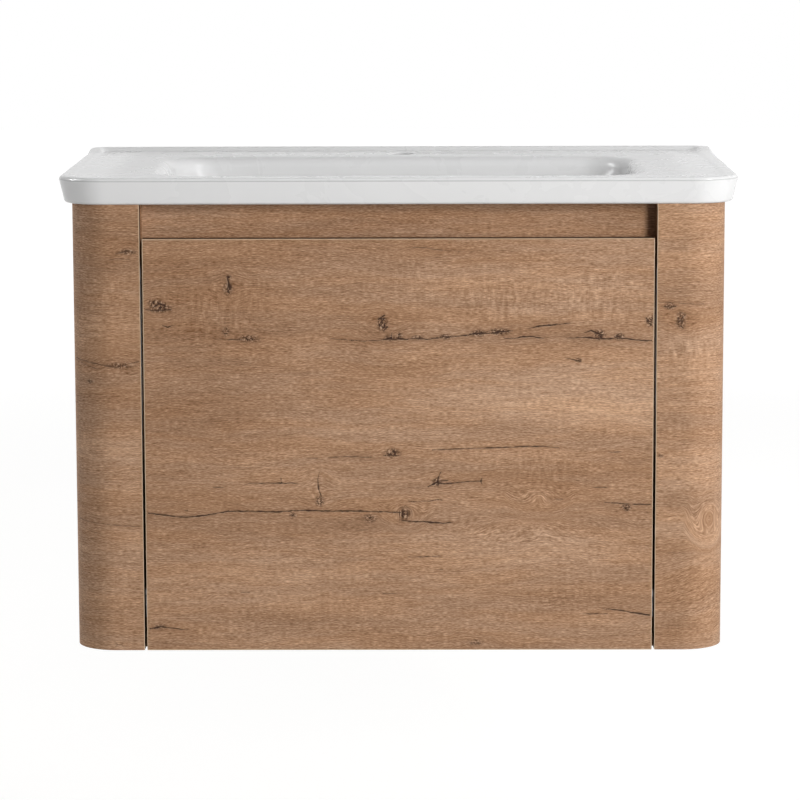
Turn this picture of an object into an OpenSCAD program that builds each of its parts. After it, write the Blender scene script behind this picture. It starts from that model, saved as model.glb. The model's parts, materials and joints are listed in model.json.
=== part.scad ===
// Wall-hung washbasin cabinet: a wide ceramic basin over a cabinet with bent front corners and
// one deep drawer. Millimetres. +Z is up, +X is to the right seen from the front, +Y goes to the wall.
// The origin lies on the wall plane, at mid-width, in the middle of the four wall screws.

/* [Cabinet] */
// Width over the bent sides
cabinet_w = 780; // [720:10:980]
// Height of the cabinet without the basin
cabinet_h = 538; // [500:1:640]
// Depth from the wall to the front face
cabinet_d = 450; // [440:5:520]
// Width of a front return, from the outer side to the drawer opening
return_w = 83.5; // [80:0.5:110]
// Thickness of the bent side boards
side_t = 18; // [15:1:22]
// Outer radius of the bent front corners
corner_r = 50; // [35:1:60]
// Thickness of the inner sides that carry the runners
inner_t = 16; // [15:1:19]
// Thickness of the base panel
base_t = 16; // [12:1:22]
// Thickness of the rails, fillers and rear boards
rail_t = 16; // [15:1:19]
// Thickness of the light edge bands
band_t = 1; // [0.4:0.1:2]
// Gap between the wall and the boards at the rear
rear_gap = 20; // [15:1:30]
// Height of the rear bottom rail
bottom_rail_h = 100; // [60:5:120]
// Height of the finger recess above the drawer front
recess_h = 41; // [30:1:60]
// How far the rail in the recess reaches below the drawer front's top
rail_overlap = 39; // [25:1:60]
// Distance from the top of the cabinet down to the middle of the wall screws
hang_drop = 98; // [94:1:110]

/* [Drawer] */
// Thickness of the drawer front
front_t = 18; // [16:1:22]
// Gap at each side of the drawer front
front_gap = 3; // [2:0.5:4]
// Finger room between the drawer front and the rail behind it
finger_gap = 17; // [14:1:24]
// Thickness of the drawer's sides, back and bottom
box_t = 16; // [12:1:18]
// Height of the drawer's sides
box_h = 190; // [140:5:240]
// Gap between the drawer box and the rear rails
box_rear_gap = 8; // [5:1:20]
// Gap between a drawer side and the cabinet's inner side
box_gap = 5; // [4.5:0.5:7]
// How far the drawer's sides reach below its bottom
box_drop = 13; // [12:0.5:14]
// How far the back and the boards round the cut-out stay below the sides
back_drop = 20; // [0:5:60]
// Width of the cut-out for the trap
well_w = 220; // [160:10:280]
// Depth of the cut-out for the trap
well_l = 210; // [150:10:230]
// Thickness of the boards round the cut-out
well_t = 12; // [10:1:16]
// Inner corner radius of the cut-out
well_r = 20; // [10:1:40]
// Distance from the opening's edge to a bumper
bumper_in = 60; // [30:5:120]
// Thickness of the bumpers between the base and the drawer front
bumper_t = 2; // [1:0.5:3]
// Radius of the bumpers
bumper_r = 5; // [3:0.5:5.5]

/* [Runners] */
// How much shorter than the drawer box the runners are
runner_short = 8; // [6:1:20]
// How much shorter than the runners their middle members are
middle_short = 15; // [10:1:25]
// Height of the runner above the base panel
runner_lift = 20; // [10:1:40]
// Sheet thickness of the members
sheet_t = 1.6; // [1.2:0.1:2]
// Outer width of the channels
channel_w = 26; // [25:0.5:28]
// Height of the channels
channel_h = 13; // [11:0.5:14]
// Outer width of the middle member
middle_w = 18; // [16:0.5:19]
// Height of the middle member
middle_h = 12; // [11:0.5:13]
// Radius of the rollers
roller_r = 2; // [1.6:0.1:2.2]
// Rollers in each cage
roller_count = 6; // [4:1:6]
// Distance from roller to roller
roller_pitch = 30; // [24:1:32]
// Distance from the middle member's front end to the cages
cage_back = 92; // [84:1:100]
// Height of the flange that is screwed to the inner side
flange_h = 34; // [30:1:40]
// Height of the flange's screws above the runner's underside
flange_screw_h = 23; // [20:1:24]
// Distance from the runner's ends to the outer screws
flange_screw_in = 30; // [20:1:60]
// Running clearance between a roller and its track
roller_play = 0.3; // [0.2:0.05:0.4]
// Radius of the soft-close damper
damper_r = 4; // [3:0.5:4]
// Length of the soft-close damper
damper_l = 110; // [80:5:140]
// Distance from the runner's rear end to the damper
damper_in = 20; // [10:1:60]

/* [Front brackets and lock clips] */
// Length of a bracket's legs
bracket_w = 24; // [20:1:30]
// Height of a bracket
bracket_h = 110; // [80:5:130]
// Sheet thickness of a bracket
bracket_t = 2; // [1.5:0.1:3]
// Height of a bracket above the drawer bottom
bracket_lift = 20; // [5:1:40]
// Width of a lock clip
clip_w = 18; // [18:1:24]
// Length of a lock clip
clip_l = 52; // [48:1:60]
// Height of a lock clip
clip_h = 14; // [12:1:18]
// Thickness of a release lever
lever_t = 4; // [3:0.5:5]
// Width of a release lever's arm
lever_w = 6; // [5:0.5:7]
// Radius of a lever's pin
lever_pin_r = 2; // [1.5:0.5:2.5]
// Length of the catch on a lever
catch_l = 8; // [5:1:10]

/* [Basin] */
// How far the basin stands out over the cabinet's sides
basin_over = 15; // [8:1:24]
// How far the basin stands out over the cabinet's front
basin_front_over = 10; // [6:1:18]
// Height of the basin's ledge along the wall above the cabinet
basin_h = 36; // [34:1:46]
// How far that ledge stands over the rim at the front and the sides
ledge_h = 4; // [0:0.5:5]
// Distance from the wall over which the side edges sweep up to the ledge
ledge_sweep = 75; // [50:1:100]
// Plan radius of the front corners
basin_corner_r = 57; // [44:1:80]
// Plan radius of the back corners
basin_back_r = 10; // [6:1:20]
// How far the apron draws in towards its lower edge
apron_draft = 5.5; // [0:0.5:8]
// Radius of the rim's upper edge
rim_edge_r = 5; // [3:0.5:7]
// Radius of the apron's lower edge
apron_edge_r = 4; // [2:0.5:6]
// Width of the ledge, and of the rim
rim_w = 14; // [9:1:18]
// Width of the slope from the rim down to the deck
step_w = 8; // [6:1:12]
// Height of the rim over the deck
step_h = 1; // [0.5:0.5:3]
// Width of the flat land that rests on the cabinet
land_w = 28; // [24:1:32]
// Thickness of the deck
deck_t = 10; // [8:1:12]
// Distance from the inner sides to the edge of the bowl
bowl_side = 4; // [3:1:40]
// How far the edge of the bowl reaches over the rail in the recess
bowl_over_rail = 10; // [0:1:10]
// Distance from the wall to the bowl
bowl_back = 98; // [96:1:118]
// Plan radius of the bowl's corners at the deck
bowl_corner_r = 70; // [50:1:90]
// Radius of the edge between deck and bowl
lip_r = 16; // [15:0.5:18]
// Depth of the bowl below its lip
bowl_drop = 89; // [75:1:100]
// How far the front wall of the bowl slopes inwards
slope_front = 110; // [95:1:122]
// How far the side walls of the bowl slope inwards
slope_side = 70; // [50:1:100]
// How far the rear wall of the bowl slopes inwards
slope_back = 40; // [25:1:48]
// Plan radius of the corners of the bowl's bottom
bottom_r = 50; // [38:1:54]
// Roundness of the bowl wall's curve down to the bottom
bowl_curve = 1.8; // [1.5:0.1:2.2]
// Thickness of the bowl's wall, measured level
wall_out = 7.5; // [6:0.5:9]
// Thickness of the bowl's floor
wall_down = 9; // [8:0.5:12]
// Diameter of the tap hole
tap_d = 35; // [32:0.5:38]
// Distance from the wall to the middle of the tap hole
tap_back = 62; // [55:1:68]
// Diameter of the waste hole
waste_d = 45; // [42:0.5:46]
// Distance from the wall to the middle of the waste hole
waste_back = 218; // [212:1:226]
// Wall thickness of the waste boss
boss_t = 12; // [9:0.5:14]
// Length of the waste boss below the bowl
boss_l = 28; // [20:1:36]
// Width of the flat seat round the waste hole
seat_w = 9; // [6:0.5:10]
// Diameter of the overflow hole
overflow_d = 22; // [16:1:24]
// Distance from the rim down to the middle of the overflow hole
overflow_drop = 43; // [38:1:48]
// Clear depth of the overflow duct behind the bowl
duct_depth = 12; // [9:1:15]
// Clear width of the overflow duct
duct_w = 20; // [16:1:24]
// Wall thickness of the overflow duct
duct_skin = 6; // [4:0.5:8]

/* [Hangers] */
// Vertical distance between the two screws of a wall plate
plate_screw_pitch = 32; // [25:1:40]
// Diameter of the wall screw holes
plate_hole_d = 6.5; // [5:0.5:8]
// Width of a wall plate
plate_w = 50; // [40:1:60]
// Sheet thickness of a wall plate
plate_t = 2.5; // [2:0.1:3]
// Distance from a wall plate's screws to its lower edge
plate_foot = 12; // [10:1:20]
// Distance from the wall to the front of a wall plate's lip
lip_out = 12; // [11:0.5:13]
// Height of a wall plate's lip
lip_h = 10; // [8:0.5:12]
// Height of the lip's upper edge above the middle of the screws
lip_top = 46; // [44:1:48]
// Thickness of the hook
hook_t = 3; // [2.5:0.1:4]
// Height of the hook's arm
arm_h = 14; // [10:1:15]
// How far the hook reaches down behind the lip
nose_h = 8; // [5:1:9]
// Thickness of the hook's nose
nose_t = 6; // [4:0.5:6.5]
// Width of the hanger housing
housing_w = 17; // [15:1:20]
// Depth of the hanger housing
housing_l = 66; // [60:1:80]
// Height of the hanger housing
housing_h = 60; // [58:1:66]
// Height adjustment up and down
hang_travel = 4; // [2:0.5:5]
// Radius of the height screw's shank
adjust_r = 3; // [2.5:0.1:3.5]
// Length of the height screw's shank
adjust_l = 45; // [35:1:50]

/* [Fasteners] */
// Radius of a cam
cam_r = 7.5; // [6:0.5:7.5]
// Depth of a cam
cam_h = 12.5; // [11:0.5:13.5]
// Distance from a rail's end to its cams
cam_in = 34; // [24:1:40]
// Radius of a cam bolt
bolt_r = 3; // [2.5:0.1:3.5]
// How deep a cam bolt is screwed into the inner side
bolt_grip = 11; // [8:0.5:13]
// Shank radius of the wood screws
screw_r = 2; // [1.5:0.1:2.2]
// Head radius of the wood screws
screw_head_r = 4; // [3:0.1:4.5]
// Head height of the wood screws
screw_head_h = 2.2; // [1.8:0.1:2.6]
// Length of the screws in the runner's flange
runner_screw_l = 14; // [10:1:15]
// How deep the housing's screws go into the inner side
housing_grip = 14; // [10:1:14]
// How deep the base's screws go into the inner sides
base_grip = 34; // [20:1:50]
// Length of the screws in the front brackets
bracket_screw_l = 13; // [10:1:14]
// Length of the screws in the drawer box
box_screw_l = 40; // [30:1:50]

/* [Hidden] */
$fn = 48;
running_gap = 0.05;   // radial clearance of turning and screwed pieces
slide_gap = 0.3;      // clearance of sliding faces
cut = 1;              // how far a cutting tool stands out of what it cuts

opening_w = cabinet_w - 2 * return_w;
half_w = cabinet_w / 2;
half_open = opening_w / 2;
top_z = hang_drop;
under_z = top_z - cabinet_h;
front_y = -cabinet_d;
rear_y = -rear_gap;
return_back_y = front_y + side_t;
box_front_y = front_y + front_t;
inner_shell = half_w - side_t;
base_top_z = under_z + base_t;
corner_play = 2;      // extra radius that keeps the flat boards clear of the bent corner
front_w = opening_w - 2 * front_gap;
front_h = cabinet_h - recess_h;
rail_face_y = box_front_y + finger_gap;
rail_back_y = rail_face_y + rail_t;
recess_rail_h = recess_h + rail_overlap;

box_outer = half_open - box_gap;
box_inner = box_outer - box_t;
box_back_y = rear_y - rail_t - box_rear_gap;
box_l = box_back_y - box_front_y;
well_front_y = box_back_y - well_l;

channel_gap = 1;      // between a channel and the drawer side, and between the two channels
runner_front = 4;     // from the drawer front's back to the runner
runner_l = box_l - runner_short;
runner_front_y = box_front_y + runner_front;
runner_back_y = runner_front_y + runner_l;
channel_x = box_inner - channel_gap - channel_w / 2;
channel_x0 = channel_x - channel_w / 2;
channel_x1 = channel_x + channel_w / 2;
middle_l = runner_l - middle_short;
middle_front_y = runner_front_y + runner_front;
cage_l = roller_count * roller_pitch;
cage_front_y = middle_front_y + cage_back;
cage_t = 1.2;
roller_short = 4;     // how much narrower than the middle member the rollers are
roller_w = middle_w - roller_short;

runner_z = base_top_z + runner_lift;
lower_roller_z = runner_z + sheet_t + roller_play + roller_r;
middle_z = lower_roller_z + roller_r + roller_play;
upper_roller_z = middle_z + middle_h + roller_play + roller_r;
drawer_member_top = upper_roller_z + roller_r + roller_play + sheet_t;
side_low_z = drawer_member_top - box_drop;
side_top_z = side_low_z + box_h;
floor_z = drawer_member_top + box_t;
back_top_z = side_top_z - back_drop;

clip_x1 = channel_x0 - slide_gap;
clip_x0 = clip_x1 - clip_w;
clip_y1 = runner_front_y + clip_l;
clip_z0 = drawer_member_top - clip_h;
clip_web = 2;         // plastic left behind the lever's slot and over its pin
pin_in = 10;          // from the clip's rear end to the pin
catch_in = 16;        // from the clip's front end to the catch
catch_room = 1;       // room at each side of the catch in its window, as it swings out
pin_x = (clip_x0 + clip_x1) / 2;
pin_y = clip_y1 - pin_in;
catch_y = runner_front_y + catch_in;
catch_z = drawer_member_top - clip_h / 2 - lever_t / 2;

basin_z = top_z;
basin_w = cabinet_w + 2 * basin_over;
basin_d = cabinet_d + basin_front_over;
deck_fall = 1;        // how far the deck falls towards the bowl
rim_z = basin_h - ledge_h;
deck_z = rim_z - step_h;
bowl_edge_z = deck_z - deck_fall;
lip_z = bowl_edge_z - lip_r;
deck_under_z = bowl_edge_z - deck_t;
bowl_hx = half_open - bowl_side;
bowl_y0 = rail_back_y - bowl_over_rail;
bowl_y1 = -bowl_back;
waste_y = -waste_back;
waste_r = waste_d / 2;
seat_r = waste_r + seat_w;
seat_h = 2;
boss_r = waste_r + boss_t;
floor_fall = 3;       // how far the bowl's bottom falls towards the waste
overflow_z = basin_h - overflow_drop;
bowl_steps = 8;
edge_steps = 3;
step_steps = 4;
side_steps = 6;
corner_steps = 9;

hook_x = half_open - housing_w / 2;
housing_gap = 1;      // between the housing and the rear top rail
housing_y1 = rear_y - rail_t - housing_gap;
housing_y0 = housing_y1 - housing_l;
housing_under = 22;   // how far the housing reaches below the hook's lip
housing_z0 = lip_top - housing_under;
housing_z1 = housing_z0 + housing_h;
adjust_z = housing_z1 - 10;
notch_z0 = housing_z0 + 2;
rail_foot = 28;       // how far the rear top rail reaches below its notches
cam_foot = 14;        // height of its cams above its lower edge
top_rail_z0 = notch_z0 - rail_foot;

oak = [0.63, 0.49, 0.38];
oak_band = [0.74, 0.62, 0.50];
board = [0.86, 0.85, 0.82];
glaze = [0.94, 0.94, 0.93];
steel = [0.72, 0.73, 0.74];
plastic = [0.55, 0.56, 0.58];
lever_colour = [0.35, 0.36, 0.38];

// ---- Shared helpers ----

// Pieces are written for the right-hand side. The left-hand one is its mirror image.
module on_side(side) {
    mirror([side < 0 ? 1 : 0, 0, 0]) children();
}

module both_sides() {
    for (side = [-1, 1]) on_side(side) children();
}

// A box from its lowest to its highest corner
module block(low, high) {
    translate(low) cube(high - low);
}

// A cylinder from a point along a row axis
module rod(from, axis, r, l) {
    turn = axis == "x" ? [0, 90, 0] : axis == "y" ? [-90, 0, 0] : [0, 0, 0];
    translate(from) rotate(turn) cylinder(r = r, h = l);
}

// A countersunk screw whose head lies flush in the plane z = 0, pointing down
module screw(l) {
    translate([0, 0, -screw_head_h]) cylinder(r1 = screw_r, r2 = screw_head_r, h = screw_head_h);
    translate([0, 0, -l]) cylinder(r = screw_r, h = l - screw_head_h);
}

// The hole that such a screw sits in
module screw_hole(l) {
    grown = running_gap;
    translate([0, 0, -screw_head_h]) {
        cylinder(r1 = screw_r + grown, r2 = screw_head_r + grown, h = screw_head_h);
    }
    translate([0, 0, -l - grown]) cylinder(r = screw_r + grown, h = l + grown - screw_head_h);
    cylinder(r = screw_head_r + grown, h = cut);
}

// ---- Cabinet boards ----

// Plan outline of the cabinet's right half, drawn in from the outer face by a distance
module shell_outline(inset, r) {
    x1 = half_w - inset;
    y0 = front_y + inset;
    translate([0, y0 + r]) square([x1, -y0 - r]);
    translate([0, y0]) square([x1 - r, r]);
    translate([x1 - r, y0 + r]) circle(r = r);
}

// One board bent round the front corner, from the wall to the end of the front return
module curved_side(side) {
    color(oak) on_side(side) translate([0, 0, under_z]) linear_extrude(cabinet_h) difference() {
        shell_outline(0, corner_r);
        shell_outline(side_t, corner_r - side_t);
        translate([-cut, front_y - cut]) square([half_open + band_t + cut, side_t + 2 * cut]);
    }
}

module return_edge_bands() {
    color(oak_band) both_sides() {
        block([half_open, front_y, under_z], [half_open + band_t, return_back_y, top_z]);
    }
}

module inner_side(side) {
    color(oak) on_side(side) difference() {
        block([half_open, return_back_y, base_top_z], [half_open + inner_t, rear_y, top_z]);
        at_cam_bolts() rod([0, 0, -cut], "z", bolt_r + running_gap, bolt_grip + running_gap + cut);
        at_runner_screws() screw_hole(runner_screw_l);
        at_housing_screws() screw_hole(housing_w + housing_grip);
        at_base_screws() screw_hole(base_t + base_grip);
    }
}

// Plan outline of a board that closes the shell from inside, up to the boards' rear
module closing_outline() {
    intersection() {
        shell_outline(side_t, corner_r - side_t + corner_play);
        translate([0, front_y]) square([half_w, cabinet_d - rear_gap]);
    }
}

module both_halves() {
    children();
    mirror([1, 0]) children();
}

module base_panel() {
    color(oak) difference() {
        translate([0, 0, under_z]) linear_extrude(base_t) difference() {
            both_halves() closing_outline();
            translate([-half_open, front_y]) square([opening_w, front_t + bumper_t]);
        }
        both_sides() at_base_screws() screw_hole(base_t + base_grip);
    }
}

module top_filler(side) {
    color(board) on_side(side) translate([0, 0, top_z - rail_t]) linear_extrude(rail_t) difference() {
        closing_outline();
        translate([0, front_y]) square([half_open + inner_t, cabinet_d]);
    }
}

module rear_filler(side) {
    color(board) on_side(side) {
        block([half_open + inner_t, rear_y - rail_t, base_top_z], [inner_shell, rear_y, top_z - rail_t]);
    }
}

module recess_rail() {
    color(oak) cam_joined("recess") {
        block([-half_open, rail_face_y, top_z - recess_rail_h], [half_open, rail_back_y, top_z]);
    }
}

// Its two notches let the hooks through
module rear_top_rail() {
    color(board) cam_joined("top") difference() {
        block([-half_open, rear_y - rail_t, top_rail_z0], [half_open, rear_y, top_z]);
        both_sides() block(
            [half_open - housing_w, rear_y - rail_t - cut, notch_z0],
            [half_open + cut, rear_y + cut, housing_z1]
        );
    }
}

module rear_bottom_rail() {
    color(board) cam_joined("bottom") {
        block([-half_open, rear_y - rail_t, base_top_z], [half_open, rear_y, base_top_z + bottom_rail_h]);
    }
}

// ---- Cam fittings: where they are, the bores in a rail, and the pieces themselves ----

// The rail's name, the y of its middle, the z of its bolts, and the side that its cams open to
cam_spots = [
    ["recess", (rail_face_y + rail_back_y) / 2, top_z - recess_rail_h / 2, 1],
    ["top", rear_y - rail_t / 2, top_rail_z0 + cam_foot, -1],
    ["bottom", rear_y - rail_t / 2, base_top_z + bottom_rail_h / 2, -1]
];

// Frames on a rail's face, with -z pointing into the rail
module at_cams(name) {
    for (spot = cam_spots) if (name == "all" || name == spot[0]) {
        translate([half_open - cam_in, spot[1] + spot[3] * rail_t / 2, spot[2]]) {
            rotate([-90 * spot[3], 0, 0]) children();
        }
    }
}

// Frames on the inner side's face, with +z pointing into it
module at_cam_bolts() {
    for (spot = cam_spots) translate([half_open, spot[1], spot[2]]) rotate([0, 90, 0]) children();
}

// A rail with the bores for its cams and their bolts
module cam_joined(name) {
    difference() {
        children();
        both_sides() {
            at_cams(name) translate([0, 0, -cam_h - running_gap]) {
                cylinder(r = cam_r + running_gap, h = cam_h + running_gap + cut);
            }
            for (spot = cam_spots) if (name == spot[0]) {
                rod([half_open - cam_in, spot[1], spot[2]], "x", bolt_r + slide_gap, cam_in + cut);
            }
        }
    }
}

module cam_fittings() {
    cross_w = 1.4;
    color(steel) both_sides() at_cams("all") difference() {
        translate([0, 0, -cam_h]) cylinder(r = cam_r, h = cam_h);
        translate([0, 0, -rail_t / 2]) rotate([0, 90, 0]) cylinder(r = bolt_r + slide_gap, h = cam_r + cut);
        for (turn = [0, 90]) rotate(turn) {
            translate([-cam_r / 2, -cross_w / 2, -cross_w]) cube([cam_r, cross_w, cross_w + cut]);
        }
    }
}

module cam_bolts() {
    head_gap = 1;
    color(steel) both_sides() at_cam_bolts() {
        rod([0, 0, head_gap - cam_in], "z", bolt_r, cam_in - head_gap + bolt_grip);
    }
}

// ---- Wood screws: frames whose plane z = 0 takes the head, with -z pointing into the boards ----

housing_screw_in = 14;
housing_screw_h = 9;
base_screw_in = 50;
back_screw_in = 35;
bottom_screw_in = 60;
bracket_screw_in = 16;

// Three places along a length: one at each end, set in, and one in the middle
function three_along(l, in) = [in, l / 2, l - in];

module at_runner_screws() {
    for (along = three_along(runner_l, flange_screw_in)) {
        translate([half_open - sheet_t, runner_front_y + along, runner_z + flange_screw_h]) {
            rotate([0, -90, 0]) children();
        }
    }
}

module at_housing_screws() {
    for (along = [housing_screw_in, housing_l - housing_screw_in]) {
        translate([half_open - housing_w, housing_y0 + along, housing_z0 + housing_screw_h]) {
            rotate([0, -90, 0]) children();
        }
    }
}

module at_base_screws() {
    for (along = three_along(rear_y - return_back_y, base_screw_in)) {
        translate([half_open + inner_t / 2, return_back_y + along, under_z]) rotate([180, 0, 0]) children();
    }
}

module at_box_screws() {
    for (z = [floor_z + back_screw_in, back_top_z - back_screw_in]) {
        translate([box_outer, box_back_y - box_t / 2, z]) rotate([0, 90, 0]) children();
    }
    for (along = three_along(box_l, bottom_screw_in)) {
        translate([box_outer, box_front_y + along, floor_z - box_t / 2]) rotate([0, 90, 0]) children();
    }
}

// In the middle of both legs of a bracket
module at_bracket_screws() {
    for (up = three_along(bracket_h, bracket_screw_in)) translate([0, 0, floor_z + bracket_lift + up]) {
        translate([box_inner - bracket_w / 2, box_front_y + bracket_t, 0]) rotate([-90, 0, 0]) children();
        translate([box_inner - bracket_t, box_front_y + bracket_w / 2, 0]) rotate([0, -90, 0]) children();
    }
}

module runner_screws() {
    color(steel) both_sides() at_runner_screws() screw(runner_screw_l);
}

module hanger_housing_screws() {
    color(steel) both_sides() at_housing_screws() screw(housing_w + housing_grip);
}

module base_screws() {
    color(steel) both_sides() at_base_screws() screw(base_t + base_grip);
}

module front_screws() {
    color(steel) both_sides() at_bracket_screws() screw(bracket_screw_l);
}

module box_screws() {
    color(steel) both_sides() at_box_screws() screw(box_screw_l);
}

// ---- Basin: one loft of rounded outlines, from the bowl's floor over the rim and back underneath ----

function corner(cx, cy, r, from) = [
    for (i = [0 : corner_steps]) let (a = from + 90 * i / corner_steps) [cx + r * cos(a), cy + r * sin(a)]
];

// Points of an outline's straight side near the wall, where the rim sweeps up, from the front backwards
sweep_share = ledge_sweep / (basin_d - basin_corner_r - basin_back_r);
function side_points(x, y0, y1) = [
    for (i = [side_steps : -1 : 1]) [x, y1 - (y1 - y0) * sweep_share * i / side_steps]
];
function backwards(points) = [for (i = [len(points) - 1 : -1 : 0]) points[i]];

// How far the rim is raised at a distance from the wall
function ledge_rise(y) = let (t = min(1, max(0, (y + ledge_sweep) / (ledge_sweep - rim_w))))
    ledge_h * (1 - cos(180 * t)) / 2;

// A rounded outline, anticlockwise seen from above, raised towards the wall by a share of the ledge
function outline(hx, y0, y1, rf, rb, z, raised = 0) = [
    for (p = concat(
        corner(hx - rf, y0 + rf, rf, -90), side_points(hx, y0 + rf, y1 - rb), corner(hx - rb, y1 - rb, rb, 0),
        corner(-hx + rb, y1 - rb, rb, 90), backwards(side_points(-hx, y0 + rf, y1 - rb)),
        corner(-hx + rf, y0 + rf, rf, 180)
    )) [p[0], p[1], basin_z + z + raised * ledge_rise(p[1])]
];

least_r = 2;

// An outline drawn in from the basin's widest one
function body_outline(side_in, back_in, z, raised = 0) = outline(
    basin_w / 2 - side_in, -basin_d + side_in, -back_in,
    max(basin_corner_r - side_in, least_r), max(basin_back_r - back_in, least_r), z, raised
);

// The bowl's edge at the deck, drawn in (or out, where negative)
function bowl_edge(in, z) = let (r = bowl_corner_r - in)
    outline(bowl_hx - in, bowl_y0 + in, bowl_y1 - in, r, r, z);

// The bowl's wall from its lip (u = 0) to its floor (u = 1), moved outwards and down for the underside
function bowl_z(u) = lip_z - bowl_drop * (1 - pow(1 - u, bowl_curve));
function bowl_rear(u, out) = bowl_y1 - lip_r - u * slope_back + out;
function bowl_outline(u, out, down) = let (
    lip_corner_r = bowl_corner_r - lip_r,
    r = lip_corner_r + (bottom_r - lip_corner_r) * u + out
) outline(
    bowl_hx - lip_r - u * slope_side + out, bowl_y0 + lip_r + u * slope_front - out,
    bowl_rear(u, out), r, r, bowl_z(u) - down
);

function round_outline(r, z) = outline(r, waste_y - r, waste_y + r, r, r, z);

bowl_floor_z = bowl_z(1) - floor_fall;
boss_top_z = bowl_z(1) - wall_down;
boss_low_z = boss_top_z - boss_l;
boss_fillet = 3;
seat_fillet = 4;
land_in = apron_draft + apron_edge_r + land_w;
land_slope = 2;
neck_in = 1;

basin_outlines = concat(
    [round_outline(seat_r + seat_fillet, bowl_floor_z)],
    [for (i = [bowl_steps : -1 : 0]) bowl_outline(i / bowl_steps, 0, 0)],
    [for (i = [edge_steps - 1 : -1 : 0]) let (a = 90 * i / edge_steps)
        bowl_edge(lip_r * sin(a), bowl_edge_z - lip_r * (1 - cos(a)))],
    [for (i = [step_steps : -1 : 0]) let (
        t = i / step_steps, in = rim_w + step_w * t, up = (1 + cos(180 * t)) / 2
    ) body_outline(in, in, deck_z + step_h * up, up)],
    [for (i = [edge_steps : -1 : 0]) let (a = 90 * i / edge_steps, in = rim_edge_r * (1 - cos(a)))
        body_outline(in, in, rim_z - rim_edge_r * (1 - sin(a)), 1)],
    [for (i = [edge_steps : -1 : 0]) let (a = 90 * i / edge_steps)
        body_outline(apron_draft + apron_edge_r * (1 - sin(a)), 0, apron_edge_r * (1 - cos(a)))],
    [body_outline(land_in, land_w, 0)],
    [body_outline(land_in + land_slope, land_w + land_slope, deck_under_z)],
    [bowl_edge(neck_in - wall_out, deck_under_z)],
    [for (i = [0 : bowl_steps]) bowl_outline(i / bowl_steps, wall_out, wall_down)],
    [round_outline(boss_r + boss_fillet, boss_top_z)],
    [round_outline(boss_r, boss_low_z)]
);

module basin_body() {
    per_ring = 4 * (corner_steps + 1) + 2 * side_steps;
    rings = len(basin_outlines);
    points = [for (ring = basin_outlines) for (p = ring) p];
    walls = [
        for (i = [0 : rings - 2]) for (j = [0 : per_ring - 1]) let (
            a = i * per_ring + j, b = i * per_ring + (j + 1) % per_ring, c = b + per_ring, d = a + per_ring
        ) each [[a, b, c], [a, c, d]]
    ];
    first_cap = [for (j = [per_ring - 1 : -1 : 0]) j];
    last_cap = [for (j = [0 : per_ring - 1]) (rings - 1) * per_ring + j];
    polyhedron(points = points, faces = concat([first_cap], walls, [last_cap]), convexity = 8);
}

duct_gap = 1;         // wall between the duct and the bowl, on top of the bowl's own
duct_top_z = overflow_z + overflow_d / 2;
duct_low_z = boss_top_z - duct_depth;
duct_y0 = bowl_rear(0, wall_out) + duct_gap;
duct_y1 = duct_y0 + duct_depth;

// The casting behind the bowl, from the overflow hole down to the waste boss, in side view
module duct_casting() {
    sunk = 2;
    wall_steps = 4;
    w = duct_w + 2 * duct_skin;
    translate([-w / 2, 0, basin_z]) rotate([90, 0, 90]) linear_extrude(w) polygon(concat(
        [
            [bowl_rear(0, sunk), duct_top_z + duct_skin], [duct_y1 + duct_skin, duct_top_z + duct_skin],
            [duct_y1 + duct_skin, duct_low_z - duct_skin / 2], [duct_y1, duct_low_z - duct_skin],
            [waste_y, duct_low_z - duct_skin], [waste_y, boss_top_z + sunk]
        ],
        [for (i = [wall_steps : -1 : 0]) let (u = i / wall_steps) [bowl_rear(u, sunk), bowl_z(u) - wall_down]]
    ));
}

// The water's way in that casting: down behind the bowl, then forward to the waste
module duct_channel() {
    x = duct_w / 2;
    block([-x, duct_y0, basin_z + duct_low_z], [x, duct_y1, basin_z + duct_top_z]);
    block([-x, waste_y, basin_z + duct_low_z], [x, duct_y1, basin_z + boss_top_z - duct_gap]);
}

module basin() {
    hole_y = bowl_rear(1, 0);
    color(glaze) difference() {
        union() {
            basin_body();
            duct_casting();
        }
        duct_channel();
        rod([0, hole_y, basin_z + overflow_z], "y", overflow_d / 2, duct_y0 + duct_depth / 2 - hole_y);
        rod([0, -tap_back, basin_z], "z", tap_d / 2, basin_h + cut);
        rod([0, waste_y, basin_z + boss_low_z - cut], "z", waste_r, bowl_floor_z - boss_low_z + 2 * cut);
        rod([0, waste_y, basin_z + bowl_floor_z - seat_h], "z", seat_r, seat_h + cut);
    }
}

// ---- Hangers: a housing in the cabinet, a hook that is raised by a screw, and a plate on the wall ----

module hanger_housing(side) {
    web = 6;
    play = hang_travel + slide_gap;
    color(plastic) on_side(side) difference() {
        block([half_open - housing_w, housing_y0, housing_z0], [half_open, housing_y1, housing_z1]);
        block(
            [hook_x - hook_t / 2 - slide_gap, housing_y0 + web, lip_top - play],
            [hook_x + hook_t / 2 + slide_gap, housing_y1 + cut, lip_top + arm_h + play]
        );
        rod([hook_x, housing_y0 - cut, adjust_z], "y", adjust_r + running_gap, adjust_l + running_gap + cut);
        at_housing_screws() screw_hole(housing_w + housing_grip);
    }
}

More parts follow.
